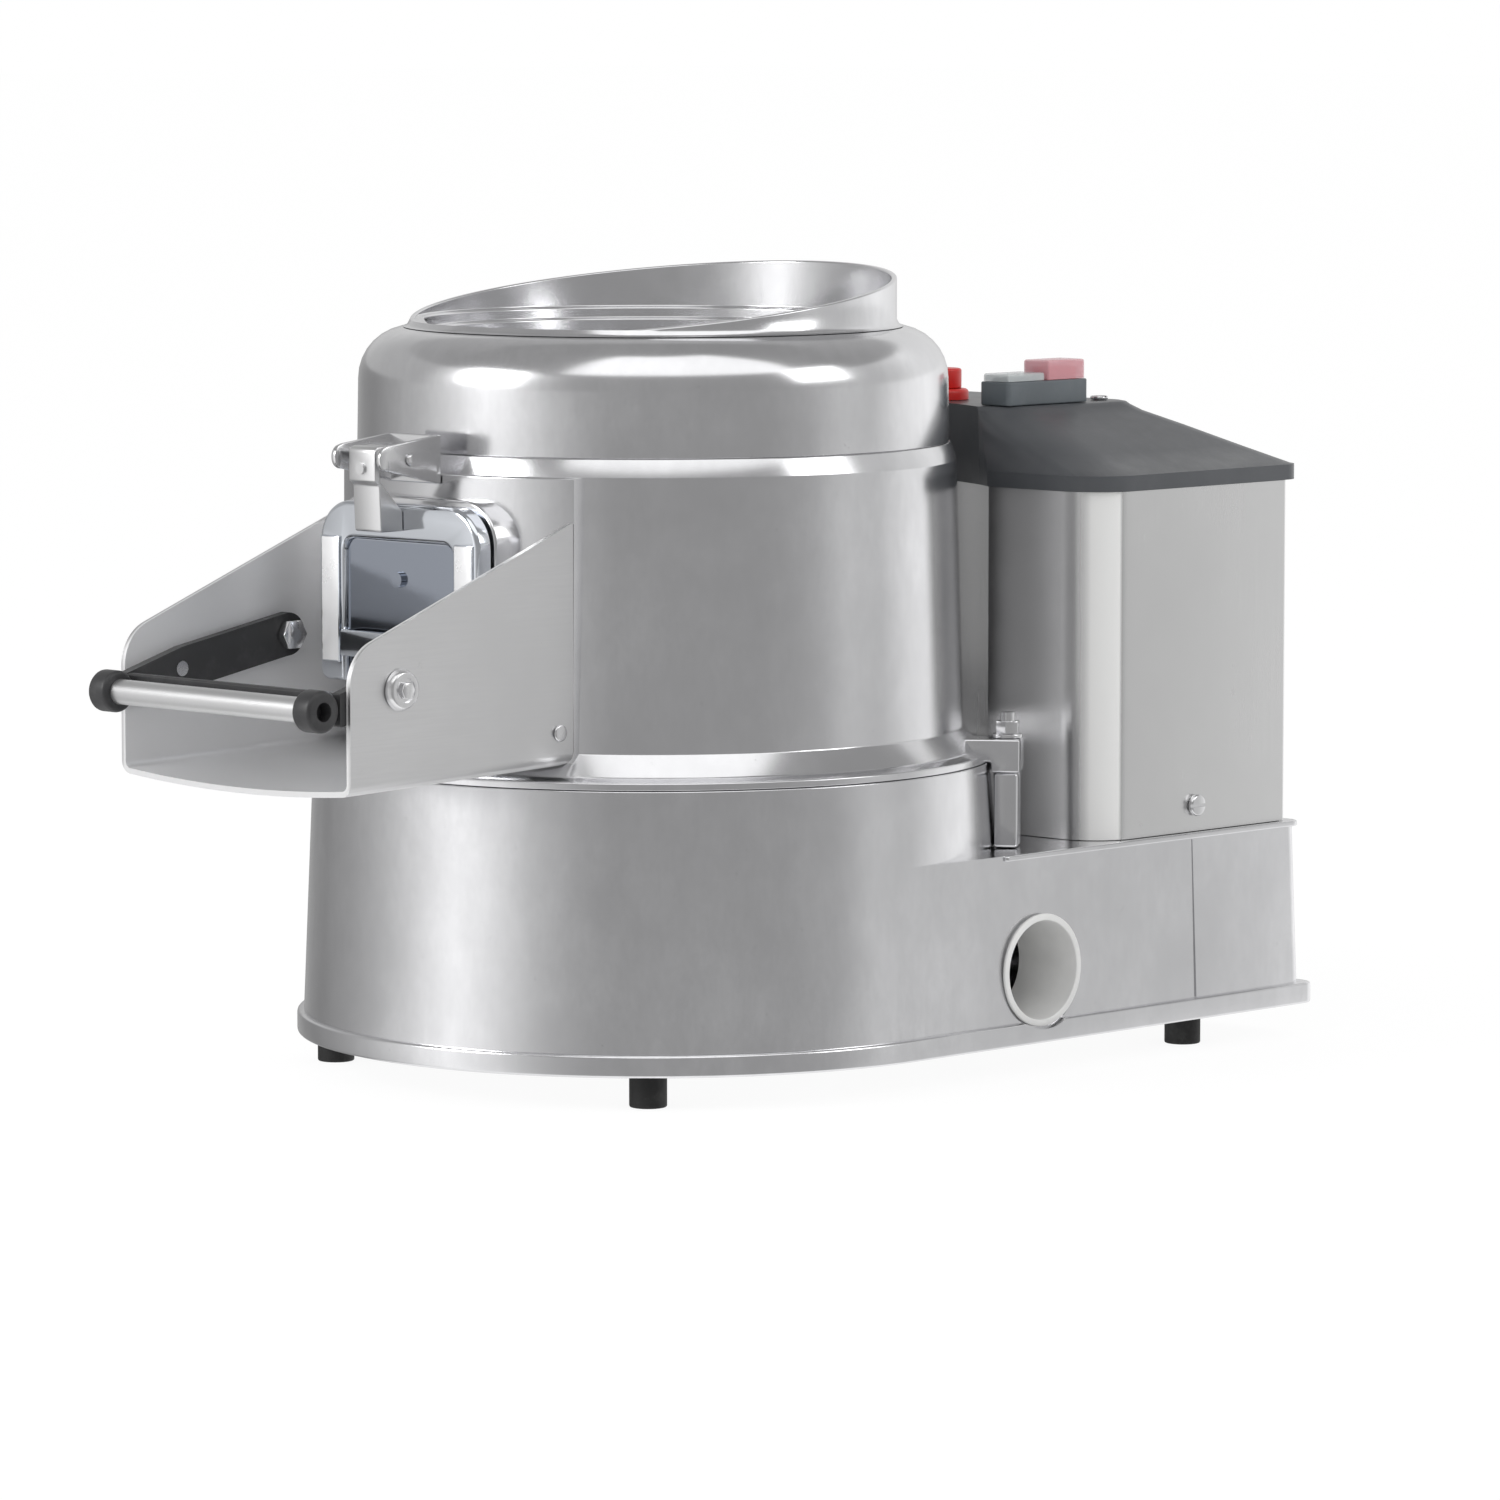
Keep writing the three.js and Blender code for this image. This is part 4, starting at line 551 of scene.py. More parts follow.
# hollow of the tail, which leaves walls round the chamber, the gutter, the duct and the feet
def tailCavity():
    wall = casting["wall"]
    under = casting["chamberFloor"] - wall
    outer = casting["chamber"] + wall
    inner = casting["gutterInner"] - wall
    cavity = slab(planCorners(casting["deckHalf"] - wall, casting["cavityRear"], 5), "top",
                  casting["below"], casting["deck"] - wall)
    shell = lathe(oblong(0, outer, under, casting["drumTop"]))
    gutterShell = lathe(oblong(inner, outer, casting["gutterFloor"] - wall, 60))
    beltPass = brick(across(casting["beltPass"]), (0, outer), (casting["below"], under))
    gutterShell = carved(gutterShell, cut(beltPass))
    duct = rod(casting["duct"], "x", casting["drain"], (122, 184), 64)
    pillars = [drill(casting["footPillar"], "z", spot, (8, casting["deck"]))
               for spot in footPlaces.values()]
    return carved(cavity, cut(shell), cut(gutterShell), cut(duct), *pillars)


# gutter round the chamber, which stops beside the belt's pass
def gutterHollow():
    inner, outer = casting["gutterInner"], casting["chamber"]
    hollow = lathe(oblong(inner, outer, casting["gutterFloor"], casting["chamberFloor"] + 2, 3, 0))
    stop = across(casting["beltPass"] + casting["wall"])
    return carved(hollow, cut(brick(stop, (-casting["wall"], outer + 3), (30, 60))))


# faint parting line down the side of the tail
def partingLine():
    ridge = brick(*casting["partingLine"])
    for v in ridge.verts:
        if v.co.z > 100:
            v.co.x -= casting["partingLean"]
    return ridge


drum = lathe([(0, casting["rimLow"]), (casting["body"], casting["rimLow"]),
              (casting["body"], casting["rimHigh"]), (casting["drumTopRadius"], casting["drumTop"], 0.8),
              (0, casting["drumTop"])], 200)
rim = slab(planCorners(casting["rim"], casting["tail"], casting["tailCorner"]), "top",
           casting["rimLow"], casting["rimHigh"])
rim = softened(rim, 1.6, 3, 50)
lip = slab(centred(casting["lipHalf"], casting["lipFront"], casting["lipRear"], 2, casting["tailCorner"]),
           "top", casting["lipLow"], casting["deck"])
lip = softened(lip, 1.0, 3, 50)
chamber = lathe(oblong(0, casting["chamber"], casting["chamberFloor"], 170))
ridge = partingLine()
body = carved(
    drum, join(tailBlock()), join(rim), join(lip), join(mirrored(ridge)), join(ridge), cut(tailCavity()),
    cut(gutterHollow()), cut(chamber),
    drill(casting["drainBore"], "x", casting["drain"], (122, 200), 96),
    drill(casting["drainRecess"], "x", casting["drain"], (casting["recessFrom"], 200), 96),
    drill(casting["spindleHole"], "z", middle, (casting["below"], 60)),
    drill(casting["motorHole"], "z", casting["motor"], (casting["below"], 125)),
    *[drill(casting["footHole"], "z", spot, (casting["below"], 31.8), 24)
      for spot in footPlaces.values()])
piece("casting", body, "cast", "base", "base_casting")
print("casting done")

# bowl: wall, flange, pad, door frame and lugs in one casting
bowl = {
    "flangeLow": 167.6, "flangeHigh": 180.5, "flangeRadius": 185, "foot": 168.7, "footInner": 172.7,
    "seam": 329.5, "seamRadius": 164.6, "top": 339, "topRadius": 161.2, "topInner": 158.6, "neckInner": 162.7,
    "spigot": 177.7, "spigotLow": 158.6, "pad": 171.65, "bossHalf": 61.8, "bossFront": 178, "bossSoft": 23,
    "doorwayHalf": 50, "doorwayLow": 226, "doorwayHigh": 300, "doorwaySoft": 16, "clampReach": 202,
    "clampWide": (-11, 11), "clampTop": 180, "earFrom": 186.7, "earLow": 162, "clampHole": 4.3,
}
clampAngles = {"right": 35, "left": 145}
clampSpot = (194.35, 0)
chuteScrewSpot = (-158, 197)
chuteHalf = 88.4
innerLine = [(bowl["footInner"], bowl["flangeLow"]), (bowl["neckInner"], bowl["flangeHigh"]),
             (bowl["topInner"], bowl["top"])]
wall = lathe([
    (bowl["spigot"], bowl["flangeLow"]), (bowl["flangeRadius"], bowl["flangeLow"], 0.6),
    (bowl["flangeRadius"], 171.4, 1), (177.6, 173.2, 3), (168.6, 184.9, 2),
    (bowl["seamRadius"] + 0.25, bowl["seam"] - 8), (bowl["seamRadius"], bowl["seam"], 0.8),
    (bowl["topRadius"], bowl["top"], 0.8), *innerLine[::-1], (bowl["footInner"], bowl["spigotLow"]),
    (bowl["spigot"], bowl["spigotLow"], 0.6)], 200)
hollow = lathe([(0, 150), (bowl["footInner"], 150), *innerLine, (bowl["topInner"], 345), (0, 345)], 200)
pad = lathe([(0, 171), (bowl["pad"] + 0.6, 171), (bowl["pad"] - 0.4, bowl["seam"], 1.0),
             (0, bowl["seam"])], 200)
pad = carved(pad, keep(brick(across(chuteHalf), (-190, 0), (172, bowl["seam"]))))
boss = slab(centred(bowl["bossHalf"], 216, 317, bowl["bossSoft"]), "front", -bowl["bossFront"], -149.6)
boss = softened(boss, 1.6, 3, 60)
doorway = slab(centred(bowl["doorwayHalf"], bowl["doorwayLow"], bowl["doorwayHigh"], bowl["doorwaySoft"]),
               "front", -185, -72)
groove = lathe(oblong(179.65, 183.85, 160, 170.3))
lugs = [join(softened(brick(onSide(side, 76.1, 85.1), (-166, -144), (190, 204)), 1)) for side in (1, -1)]
holes = []
for angle in clampAngles.values():
    web = brick((bowl["foot"], bowl["clampReach"]), bowl["clampWide"], (bowl["flangeLow"], bowl["clampTop"]))
    ear = brick((bowl["earFrom"], bowl["clampReach"]), bowl["clampWide"], (bowl["earLow"], bowl["clampTop"]))
    lugs.append(join(spun(softened(carved(web, join(ear)), 1.2, 3, 50), angle)))
    holes.append(cut(spun(rod(bowl["clampHole"], "z", clampSpot, (150, 188), 32), angle)))
screwHole = rod(3.3, "x", chuteScrewSpot, (74, 92), 24)
shape = carved(wall, join(pad), join(boss), *lugs, cut(hollow), *holes, cut(doorway), cut(groove),
               cut(screwHole.copy()), cut(mirrored(screwHole)))
piece("bowlShell", shape, "cast", "bowl_group", "bowl")
print("bowl done")

# hood: straight skirt, round shoulder and a mouth cut on the slant
hood = {"foot": 339.3, "footRadius": 160.6, "skirt": 160, "top": 401.5, "shoulder": 28, "mouth": 132,
        "mouthWall": 3, "blankTop": 430, "slantFrom": 408, "rimHeight": 417, "slope": 0.12}
shape = lathe([
    (hood["footRadius"], hood["foot"], 0.5), (hood["skirt"], 373.5),
    (hood["skirt"], hood["top"], hood["shoulder"]), (134, hood["top"], 3),
    (hood["mouth"], 405), (hood["mouth"], hood["blankTop"], 0.9),
    (hood["mouth"] - hood["mouthWall"], hood["blankTop"], 0.9),
    (129, 406, 1), (124, 406, 1.2), (124, 400, 0.8), (118.5, 400, 1.2), (118.5, 373.5), (129, 373.5),
    (129, 397.5), (155, 396, 22), (156, 373.5), (154.5, 341), (154.5, 328.3), (158.3, 328.3),
    (158.3, hood["foot"])], 200, 8)
for v in shape.verts:
    rimHere = hood["rimHeight"] + hood["slope"] * v.co.y
    if v.co.z > hood["slantFrom"]:
        v.co.z += rimHere - hood["blankTop"]
    elif math.hypot(v.co.x, v.co.y) < hood["mouth"] - 1:
        v.co.z = min(v.co.z, rimHere - 0.8)
piece("hoodShell", shape, "cast", "hood_group", "hood")
print("hood done")

# discharge door: flat casting with a sunk panel, a saddle and a raised bar along each rim
door = {"half": 61, "low": 218, "high": 314, "front": 190.2, "back": 180.8, "footSoft": 6, "topSoft": 22,
        "panelHalf": 41.5, "panelTop": 294, "floor": 187.2, "rimSoft": 3.2, "barIn": 44, "barOut": 58,
        "sealHalf": 57.3, "sealLow": 219, "sealHigh": 307, "sealHollowHalf": 50.3}
panel = slab(centred(door["panelHalf"], 200, door["panelTop"], 0, 7), "front", -195, -door["floor"])
doorBody = slab(centred(door["half"], door["low"], door["high"], door["footSoft"], door["topSoft"]),
                "front", -door["front"], -door["back"], 12)
doorBody = softened(carved(doorBody, cut(panel)), door["rimSoft"], 5, 40,
                    lambda e: all(v.co.y < -door["front"] + 0.1 for v in e.verts))
saddle = softened(brick(across(38.9), (-196.2, -186.5), (232, 246)), 1.2, 3)
saddle = carved(saddle, cut(brick(across(35.9), (-193.2, -187.2), (225, 250))))
for side in (1, -1):
    bar = brick(onSide(side, door["barIn"], door["barOut"]), (-191.6, -189), (228, 295))
    doorBody = carved(doorBody, join(softened(bar, 0.6, 2)))
doorBody = carved(doorBody, join(saddle), join(rod(4.2, "y", (-2, 274), (-189.6, -186), 32)))
piece("doorShell", doorBody, "polished", "door_group", "door")
sealHollow = centred(door["sealHollowHalf"], bowl["doorwayLow"], bowl["doorwayHigh"], bowl["doorwaySoft"])
seal = slab(centred(door["sealHalf"], door["sealLow"], door["sealHigh"], bowl["bossSoft"]), "front",
            -180.5, -178.3)
seal = carved(seal, cut(slab(sealHollow, "front", -190, -170)))
piece("doorGasket", seal, "rubber", "bowl_group", "door_seal")
print("door done")

# hinge: plate with two tapered ears, pin and strap
hinge = {"spot": (-193.4, 338), "pin": 3, "hole": 3.3, "earIn": 15.8, "earOut": 18.8, "aside": (-5.4, 0, 0),
         "seat": 171.95, "low": 324.5, "high": 350}
earRear = -hinge["seat"] - 1.5
earCorners = [(earRear, hinge["low"], 1), (earRear, hinge["high"], 1), (-208.4, 345.8, 3), (-214.9, 344, 6),
              (-214.9, 332.5, 6), (-208.4, 332.5, 3)]
bracket = brick(across(hinge["earOut"]), (-hinge["seat"] - 3, -161.2), (hinge["low"], hinge["high"]))
bracket = softened(bracket, 0.7, 2, 40)
for side in (1, -1):
    ear = slab(earCorners, "side", *onSide(side, hinge["earIn"], hinge["earOut"]))
    bracket = carved(bracket, join(softened(ear, 0.5, 2, 40)))
bracket = carved(bracket, drill(hinge["hole"], "x", hinge["spot"], across(25), 40))
bracket = carved(moved(bracket, hinge["aside"]), drill(hinge["seat"], "z", middle, (300, 360), 300))
piece("hingeBracket", bracket, "steel", "bowl_group", "hinge_bracket")
pin = softened(rod(hinge["pin"], "x", hinge["spot"], across(20.5), 40), 0.8, 3, 50)
piece("hingePin", moved(pin, hinge["aside"]), "steel", "bowl_group", "hinge_pin")
strap = slab([(-210.4, 345, 3.5), (-193.4, 345), (-193.4, 341.4), (-206.8, 341.4, 1.5), (-206.8, 327, 2),
              (-190.5, 310.4), (-190.5, 300), (-206.3, 300, 1.5), (-207.5, 324.6, 2), (-210.4, 327, 1.5)],
             "side", *across(10))
strap = carved(softened(strap, 0.7, 2, 50), join(rod(6, "x", hinge["spot"], across(15.5), 48)),
               join(rod(3, "y", (0, 333.5), (-212, -209), 28)),
               drill(hinge["hole"], "x", hinge["spot"], across(20), 40))
piece("strap", moved(strap, hinge["aside"]), "sheet", "door_group", "door_strap")
print("hinge done")

# chute: one folded sheet, open in front and on top
chute = {"sheet": 3, "reach": 305.8, "rear": 82.3, "bottom": 174.2, "bend": 7, "sag": 3.6, "tilt": 1.8,
         "lipTop": 247, "rearTop": 300, "corner": 24, "wide": (-95, 95), "blankTop": 140, "trim": 158}
pivotSpot = (-271.2, 227.5)
length = chute["reach"] - chute["rear"]


# the sheet's section: two upright sides, two bends and a bottom that sags a little
def sheetSection(inset):
    half = chuteHalf - inset
    bend = chute["bend"] - inset
    bendSteps = 8
    sagSteps = 24
    line = [(-half, chute["blankTop"]), (-half, inset + bend)]
    for i in range(1, bendSteps + 1):
        angle = math.pi + math.pi / 2 * i / bendSteps
        line.append((-half + bend + bend * math.cos(angle), inset + bend + bend * math.sin(angle)))
    for i in range(1, sagSteps):
        t = i / sagSteps
        x = (1 - t) ** 2 * (bend - half) + t ** 2 * (half - bend)
        z = (1 - t) ** 2 * inset + 2 * t * (1 - t) * (inset - chute["sag"] * 2) + t ** 2 * inset
        line.append((x, z))
    for i in range(0, bendSteps + 1):
        angle = math.pi * 1.5 + math.pi / 2 * i / bendSteps
        line.append((half - bend + bend * math.cos(angle), inset + bend + bend * math.sin(angle)))
    return line + [(half, chute["blankTop"])]


section = sheetSection(0) + sheetSection(chute["sheet"])[::-1]
trough = spun(slab(section, "front", -length, 0), chute["tilt"], "X")
rise = length * math.sin(math.radians(chute["tilt"]))
moved(trough, (0, length - chute["reach"], chute["bottom"] + rise))
slope = (chute["rearTop"] - chute["lipTop"]) / (chute["reach"] - bowl["seamRadius"])
side = slab([(-chute["reach"], chute["trim"]), (-chute["reach"], chute["lipTop"], chute["corner"]),
             (-chute["rear"], chute["lipTop"] + slope * (chute["reach"] - chute["rear"])),
             (-chute["rear"], chute["trim"])], "side", *chute["wide"], 12)
bowlRoom = lathe([(0, 0), (185.8, 0), (185.8, 172.3), (171.95, 180.8), (171.95, 345), (0, 345)], 200)
chuteBody = carved(trough, keep(side), cut(bowlRoom), drill(4.3, "x", pivotSpot, chute["wide"], 40),
                   drill(3.3, "x", chuteScrewSpot, chute["wide"], 24))
piece("chuteSheet", chuteBody, "sheet", "bowl_group", "chute")
print("chute done")

# handle: two arms and a web, round grip between dark caps
handle = {"gripSpot": (-321, 219.2), "grip": 6.6, "gripHalf": 72, "cap": 11, "capHollow": 5,
          "capEnds": (72.3, 85.3), "armOut": 85.1, "armIn": 79.1, "armBolt": (-196, 241), "webHalf": 84,
          "webY": (-309.7, -304.2), "webZ": (210.7, 227.7)}
armRoom = (70, 95)
armCorners = [
    (handle["webY"][0], handle["webZ"][0], 1), (-271.2, 216, 20), (-196, 229.5, 11.4), (-184.5, 229.5, 11.4),
    (-184.5, 252.5, 11.4), (-196, 252.5, 11.4), (-271.2, 239, 20), (handle["webY"][0], handle["webZ"][1], 1)]
rightArm = softened(slab(armCorners, "side", handle["armIn"], handle["armOut"], 10), 1.2, 3, 40)
rightArm = carved(rightArm, drill(4.3, "x", pivotSpot, armRoom, 40),
                  drill(3.7, "x", handle["armBolt"], armRoom, 40))
web = softened(brick(across(handle["webHalf"]), handle["webY"], handle["webZ"]), 1.2, 3, 40)
yoke = carved(web, join(rightArm.copy()), join(mirrored(rightArm)))
piece("handleYoke", yoke, "dark_plastic", "handle_group", "handle_yoke")
grip = rod(handle["grip"], "x", handle["gripSpot"], across(handle["gripHalf"]), 64)
piece("gripBar", grip, "sheet", "handle_group", "grip_tube")
cap = softened(rod(handle["cap"], "x", handle["gripSpot"], handle["capEnds"], 64), 2.2, 4, 50)
cap = carved(cap, drill(handle["capHollow"], "x", handle["gripSpot"], (77.3, 87), 40))
pair("gripCap", cap, "dark_plastic", "handle_group", "grip_cap")
print("handle done")

# bolts, nuts and screws of the chute and the handle
washer = softened(rod(11.3, "x", pivotSpot, (88.7, 92.9), 64, 9.4), 0.9, 3, 30)
bolt = gather(carved(washer, drill(6.6, "x", pivotSpot, (91.7, 94), 48)),
              rod(4, "x", pivotSpot, (79.1, 92), 32), hexHead(4.8, "x", pivotSpot, (91.5, 95.3)))
pair("pivotBolt", bolt, "steel", "bowl_group", "pivot_bolt")
nut = gather(hexHead(8.5, "x", handle["armBolt"], (73.4, 78.8)),
             rod(3.4, "x", handle["armBolt"], (72.8, 84.8), 32))
pair("armBolt", nut, "steel", "handle_group", "arm_bolt")
screw = gather(softened(rod(4.4, "x", chuteScrewSpot, (88.7, 90.3), 48), 0.8, 3, 50),
               rod(3, "x", chuteScrewSpot, (76.1, 88.7), 24))
pair("chuteScrew", screw, "steel", "bowl_group", "chute_screw")

# clamps: a post on the deck and a screw with its washer, hexagon head and stud
clamp = {"x": (187.8, 200.75), "y": (-8.5, 8.5), "z": (120.8, 161.7), "hole": 4.3, "washer": 8.4,
         "washerZ": (180.3, 182.3), "stud": 4, "studZ": (146.3, 194), "head": 7, "headZ": (182.3, 189.3)}
for name, angle in clampAngles.items():
    word = name.capitalize()
    column = softened(brick(clamp["x"], clamp["y"], clamp["z"]), 2.0, 4, 40)
    column = spun(carved(column, drill(clamp["hole"], "z", clampSpot, (140, 170), 32)), angle)
    piece("clampPost" + word, column, "cast", "base", "clamp_post_" + name)
    clampScrew = gather(softened(rod(clamp["washer"], "z", clampSpot, clamp["washerZ"], 48), 0.5, 2, 50),
                        rod(clamp["stud"], "z", clampSpot, clamp["studZ"], 32),
                        hexHead(clamp["head"], "z", clampSpot, clamp["headZ"]))
    piece("clampScrew" + word, spun(clampScrew, angle), "steel", "bowl_group", "clamp_screw_" + name)
print("fasteners done")

# motor cover: bent sheet, hollowed round the bowl
cover = {"half": 183.77, "front": 157.7, "rear": 314.8, "low": 120.8, "high": 311, "corner": 28,
         "rearCorner": 3, "sheet": 1.5, "flange": 11, "hollow": 188, "screwSpot": (237.3, 135.3)}


def coverPlan(inset, bottom, top):
    corners = centred(cover["half"] - inset, cover["front"] + inset, cover["rear"] - inset,
                      cover["corner"] - inset, cover["rearCorner"])
    room = rod(cover["hollow"] + inset, "z", middle, (bottom - 5, top + 5), 240)
    return carved(slab(corners, "top", bottom, top, 12), cut(room))


coverBody = carved(
    coverPlan(0, cover["low"], cover["high"]),
    cut(coverPlan(cover["sheet"], cover["low"] - 2, cover["high"] - cover["sheet"])),
    cut(coverPlan(cover["flange"], cover["high"] - 3, cover["high"] + 2)),
    drill(2.9, "x", cover["screwSpot"], across(200), 24))
piece("coverSheet", coverBody, "stainless", "base", "motor_cover")
screw = softened(rod(6, "x", cover["screwSpot"], (184.07, 187.47), 40), 1.2, 3, 50)
screw = carved(screw, cut(brick((186.2, 190), (229, 246), (134.4, 136.2))))
screw = gather(screw, rod(2.6, "x", cover["screwSpot"], (177.1, 184.2), 24))
pair("coverScrew", screw, "steel", "base", "cover_screw")
print("cover done")

# lid: a lip over the cover, a soft hip roof and a hollow round the bowl
lid = {"half": 185.77, "front": 155.7, "rear": 326.8, "low": 311.3, "eave": 319.8, "top": 354,
       "flatHalf": 107, "flatFront": 165, "flatRear": 274.3, "innerRear": 316.8, "corner": 28,
       "rearCorner": 14, "wall": 3, "hollow": 187, "innerHollow": 191, "stopHole": 10.3, "screwHole": 2.5}
lidScrewSpots = ((92, 260), (-92, 260), (-92, 173.3))
stopSpot = (25, 203)
# how high each section stands and how far it has come in towards the flat, as shares of 1
lidSections = [(0, 0), (0, 0.012), (0.30, 0.33), (0.62, 0.66), (0.84, 0.90), (0.94, 0.975),
               (0.985, 0.998), (1.0, 1.03)]


def towards(start, end, share):
    return start + (end - start) * share


def lidRing(inset, half, front, rear, height):
    corners = centred(half - inset, front + inset, rear - inset, lid["corner"] - inset,
                      lid["rearCorner"] - inset)
    return [(p.x, p.y, height) for p in softPath(corners, 8)]


def lidShape(inset, foot, rear):
    rise = lid["top"] - inset - lid["eave"]
    bm = bmesh.new()
    rings = [lidRing(inset, lid["half"], lid["front"], rear, foot)]
    for up, come in lidSections:
        rings.append(lidRing(inset, towards(lid["half"], lid["flatHalf"], come),
                             towards(lid["front"], lid["flatFront"], come),
                             towards(rear, lid["flatRear"], come), lid["eave"] + rise * up))
    loops = []
    for ring in rings:
        verts = [bm.verts.new(co) for co in ring]
        loops.append([bm.edges.new((a, z)) for a, z in zip(verts, verts[1:] + verts[:1])])
    for lower, upper in zip(loops, loops[1:]):
        bmesh.ops.bridge_loops(bm, edges=lower + upper)
    bmesh.ops.holes_fill(bm, edges=loops[0] + loops[-1], sides=0)
    bmesh.ops.recalc_face_normals(bm, faces=bm.faces)
    return bm


inside = carved(lidShape(lid["wall"], lid["low"] - 2, lid["innerRear"]),
                drill(lid["innerHollow"], "z", middle, (300, 360), 240))
lidBody = carved(lidShape(0, lid["low"], lid["rear"]), drill(lid["hollow"], "z", middle, (300, 360), 240),
                 cut(inside), drill(lid["stopHole"], "z", stopSpot, (318, 360), 48),
                 *[drill(lid["screwHole"], "z", spot, (318, 360), 24) for spot in lidScrewSpots])
piece("lidShell", lidBody, "lid_plastic", "base", "motor_lid", crease=40)
for number, (x, y) in enumerate(lidScrewSpots, 1):
    screw = softened(rod(5, "z", (x, y), (354.3, 356.5), 40), 0.9, 3, 50)
    screw = carved(screw, cut(brick((x - 7, x + 7), (y - 0.7, y + 0.7), (355.7, 358))))
    screw = gather(screw, rod(2.2, "z", (x, y), (345, 355), 24))
    piece("lidScrew" + str(number), screw, "steel", "base", "lid_screw_" + str(number))
print("lid done")

# start and stop switch with clear caps, and the emergency stop
switch = {"x": (80, 102), "front": 174, "rear": 239.9, "low": 354.3, "high": 367.3, "corner": 2.8,
          "wellX": (84.5, 97.5), "keyX": (84.8, 97.2), "capX": (81.4, 100.6), "capHollowX": (82.4, 99.6),
          "capFoot": 367.6, "capWall": 1}
keys = [
    {"name": "start", "proud": 2.2, "cap": 4.2, "slot": "grey_plastic", "tint": None},
    {"name": "stop", "proud": 7, "cap": 10.6, "slot": "red_plastic", "tint": redClear},
]
split = (switch["front"] + switch["rear"]) / 2
stretches = [(switch["front"], split), (split, switch["rear"])]


def shrunk(stretch, by):
    return (stretch[0] + by, stretch[1] - by)


housing = slab(oblong(*switch["x"], switch["front"], switch["rear"], switch["corner"]), "top",
               switch["low"], switch["high"])
wells = [cut(brick(switch["wellX"], shrunk(stretch, 4.5), (358.3, 372))) for stretch in stretches]
piece("switchBody", carved(softened(housing, 0.8, 3, 50), *wells), "grey_plastic", "base", "switch_housing")
for key, stretch in zip(keys, stretches):
    name = key["name"]
    button = brick(switch["keyX"], shrunk(stretch, 4.8), (362.8, switch["high"] + key["proud"]))
    piece(name + "Key", softened(button, 0.9, 3, 50), key["slot"], name + "_key", name + "_button")
    capTop = switch["capFoot"] + key["cap"]
    outer = softened(brick(switch["capX"], shrunk(stretch, 1.4), (switch["capFoot"], capTop)), 1.4, 4, 50,
                     lambda e: any(v.co.z > 369 for v in e.verts))
    room = brick(switch["capHollowX"], shrunk(stretch, 2.4), (365, capTop - switch["capWall"]))
    piece(name + "Cap", carved(outer, cut(room)), "clear_plastic", "base", name + "_button_cover",
          material=key["tint"])
collar = softened(rod(15, "z", stopSpot, (354.3, 360.3), 64), 2.2, 4, 50,
                  lambda e: all(v.co.z > 358 for v in e.verts))
collar = carved(collar, drill(11.3, "z", stopSpot, (355.8, 364), 64),
                join(rod(10, "z", stopSpot, (338.3, 355.8), 48)),
                drill(5.3, "z", stopSpot, (330, 362), 48))
piece("stopCollar", collar, "red_plastic", "base", "estop_collar")
knob = gather(softened(rod(11, "z", stopSpot, (360.1, 371.6), 64), 1.4, 4, 50),
              rod(5, "z", stopSpot, (351.3, 367), 48))
piece("stopKnob", knob, "red_plastic", "estop_head", "estop_knob")
print("switches done")

# feet, drain pipe and the disc inside
for name, spot in footPlaces.items():
    foot = gather(softened(rod(10, "z", spot, (0, 17.5), 48), 1.0, 3, 50), rod(3, "z", spot, (8, 31.5), 24))
    words = name.split("_")
    piece(words[0] + words[1].capitalize() + words[2].capitalize(), foot, "rubber", "base", name)
drainPipe = {"radius": 28.5, "x": (150.1, 192.4), "ring": 30.6, "ringX": (190.4, 192.4), "bore": 26.8}
pipe = carved(rod(drainPipe["radius"], "x", casting["drain"], drainPipe["x"], 96),
              join(rod(drainPipe["ring"], "x", casting["drain"], drainPipe["ringX"], 96)),
              drill(drainPipe["bore"], "x", casting["drain"], (140, 200), 96))
pipe = softened(pipe, 0.8, 3, 50, lambda e: all(v.co.x > 190 for v in e.verts))
piece("drainPipe", pipe, "pale_plastic", "base", "drain_pipe")
disc = {"radius": 149.6, "low": 202, "edgeTop": 214, "wearRadius": 140.6, "top": 211, "hub": 25, "bore": 10.3,
        "waves": 3, "waveRadius": 10, "waveZ": 206.5}
plate = lathe([(0, disc["low"]), (disc["radius"], disc["low"], 0.6), (disc["radius"], disc["edgeTop"], 1),
               (disc["wearRadius"], disc["top"], 2), (0, disc["top"])])
waves = []
for i in range(disc["waves"]):
    hump = rod(disc["waveRadius"], "x", (0, disc["waveZ"]), (disc["hub"], disc["wearRadius"]), 40)
    hump = carved(hump, cut(brick((0, 150), across(20), (190, disc["waveZ"]))))
    waves.append(join(spun(softened(hump, 2, 3, 50), 360 * i / disc["waves"])))
plate = carved(plate, *waves, join(rod(disc["hub"], "z", middle, (188, 206), 64)),
               drill(disc["bore"], "z", middle, (180, 206.3), 48))
piece("gritDisc", plate, "abrasive", "disc_group", "abrasive_disc")
knobShape = lathe([(0, 211.3), (15, 211.3, 1), (15, 221, 2), (9, 224.3, 2), (0, 224.3)], 64)
piece("discKnob", knobShape, "dark_plastic", "disc_group", "disc_knob")
for name, angle in (("a", 0), ("b", 180)):
    blade = softened(brick((62, disc["radius"]), across(3), (186.7, 201.7)), 0.8, 2, 50)
    piece("sweeper" + name.upper(), spun(blade, angle), "dark_plastic", "disc_group", "waste_sweeper_" + name)
print("feet, drain and disc done")

# nodes that stay as they are still get their finish
slots = {row["node"]: row["material_slot"] for row in frame["record"]["subparts"]}
for name, node in frame["nodes"].items():
    node.data.materials.clear()
    node.data.materials.append(finishes[slots[name]])

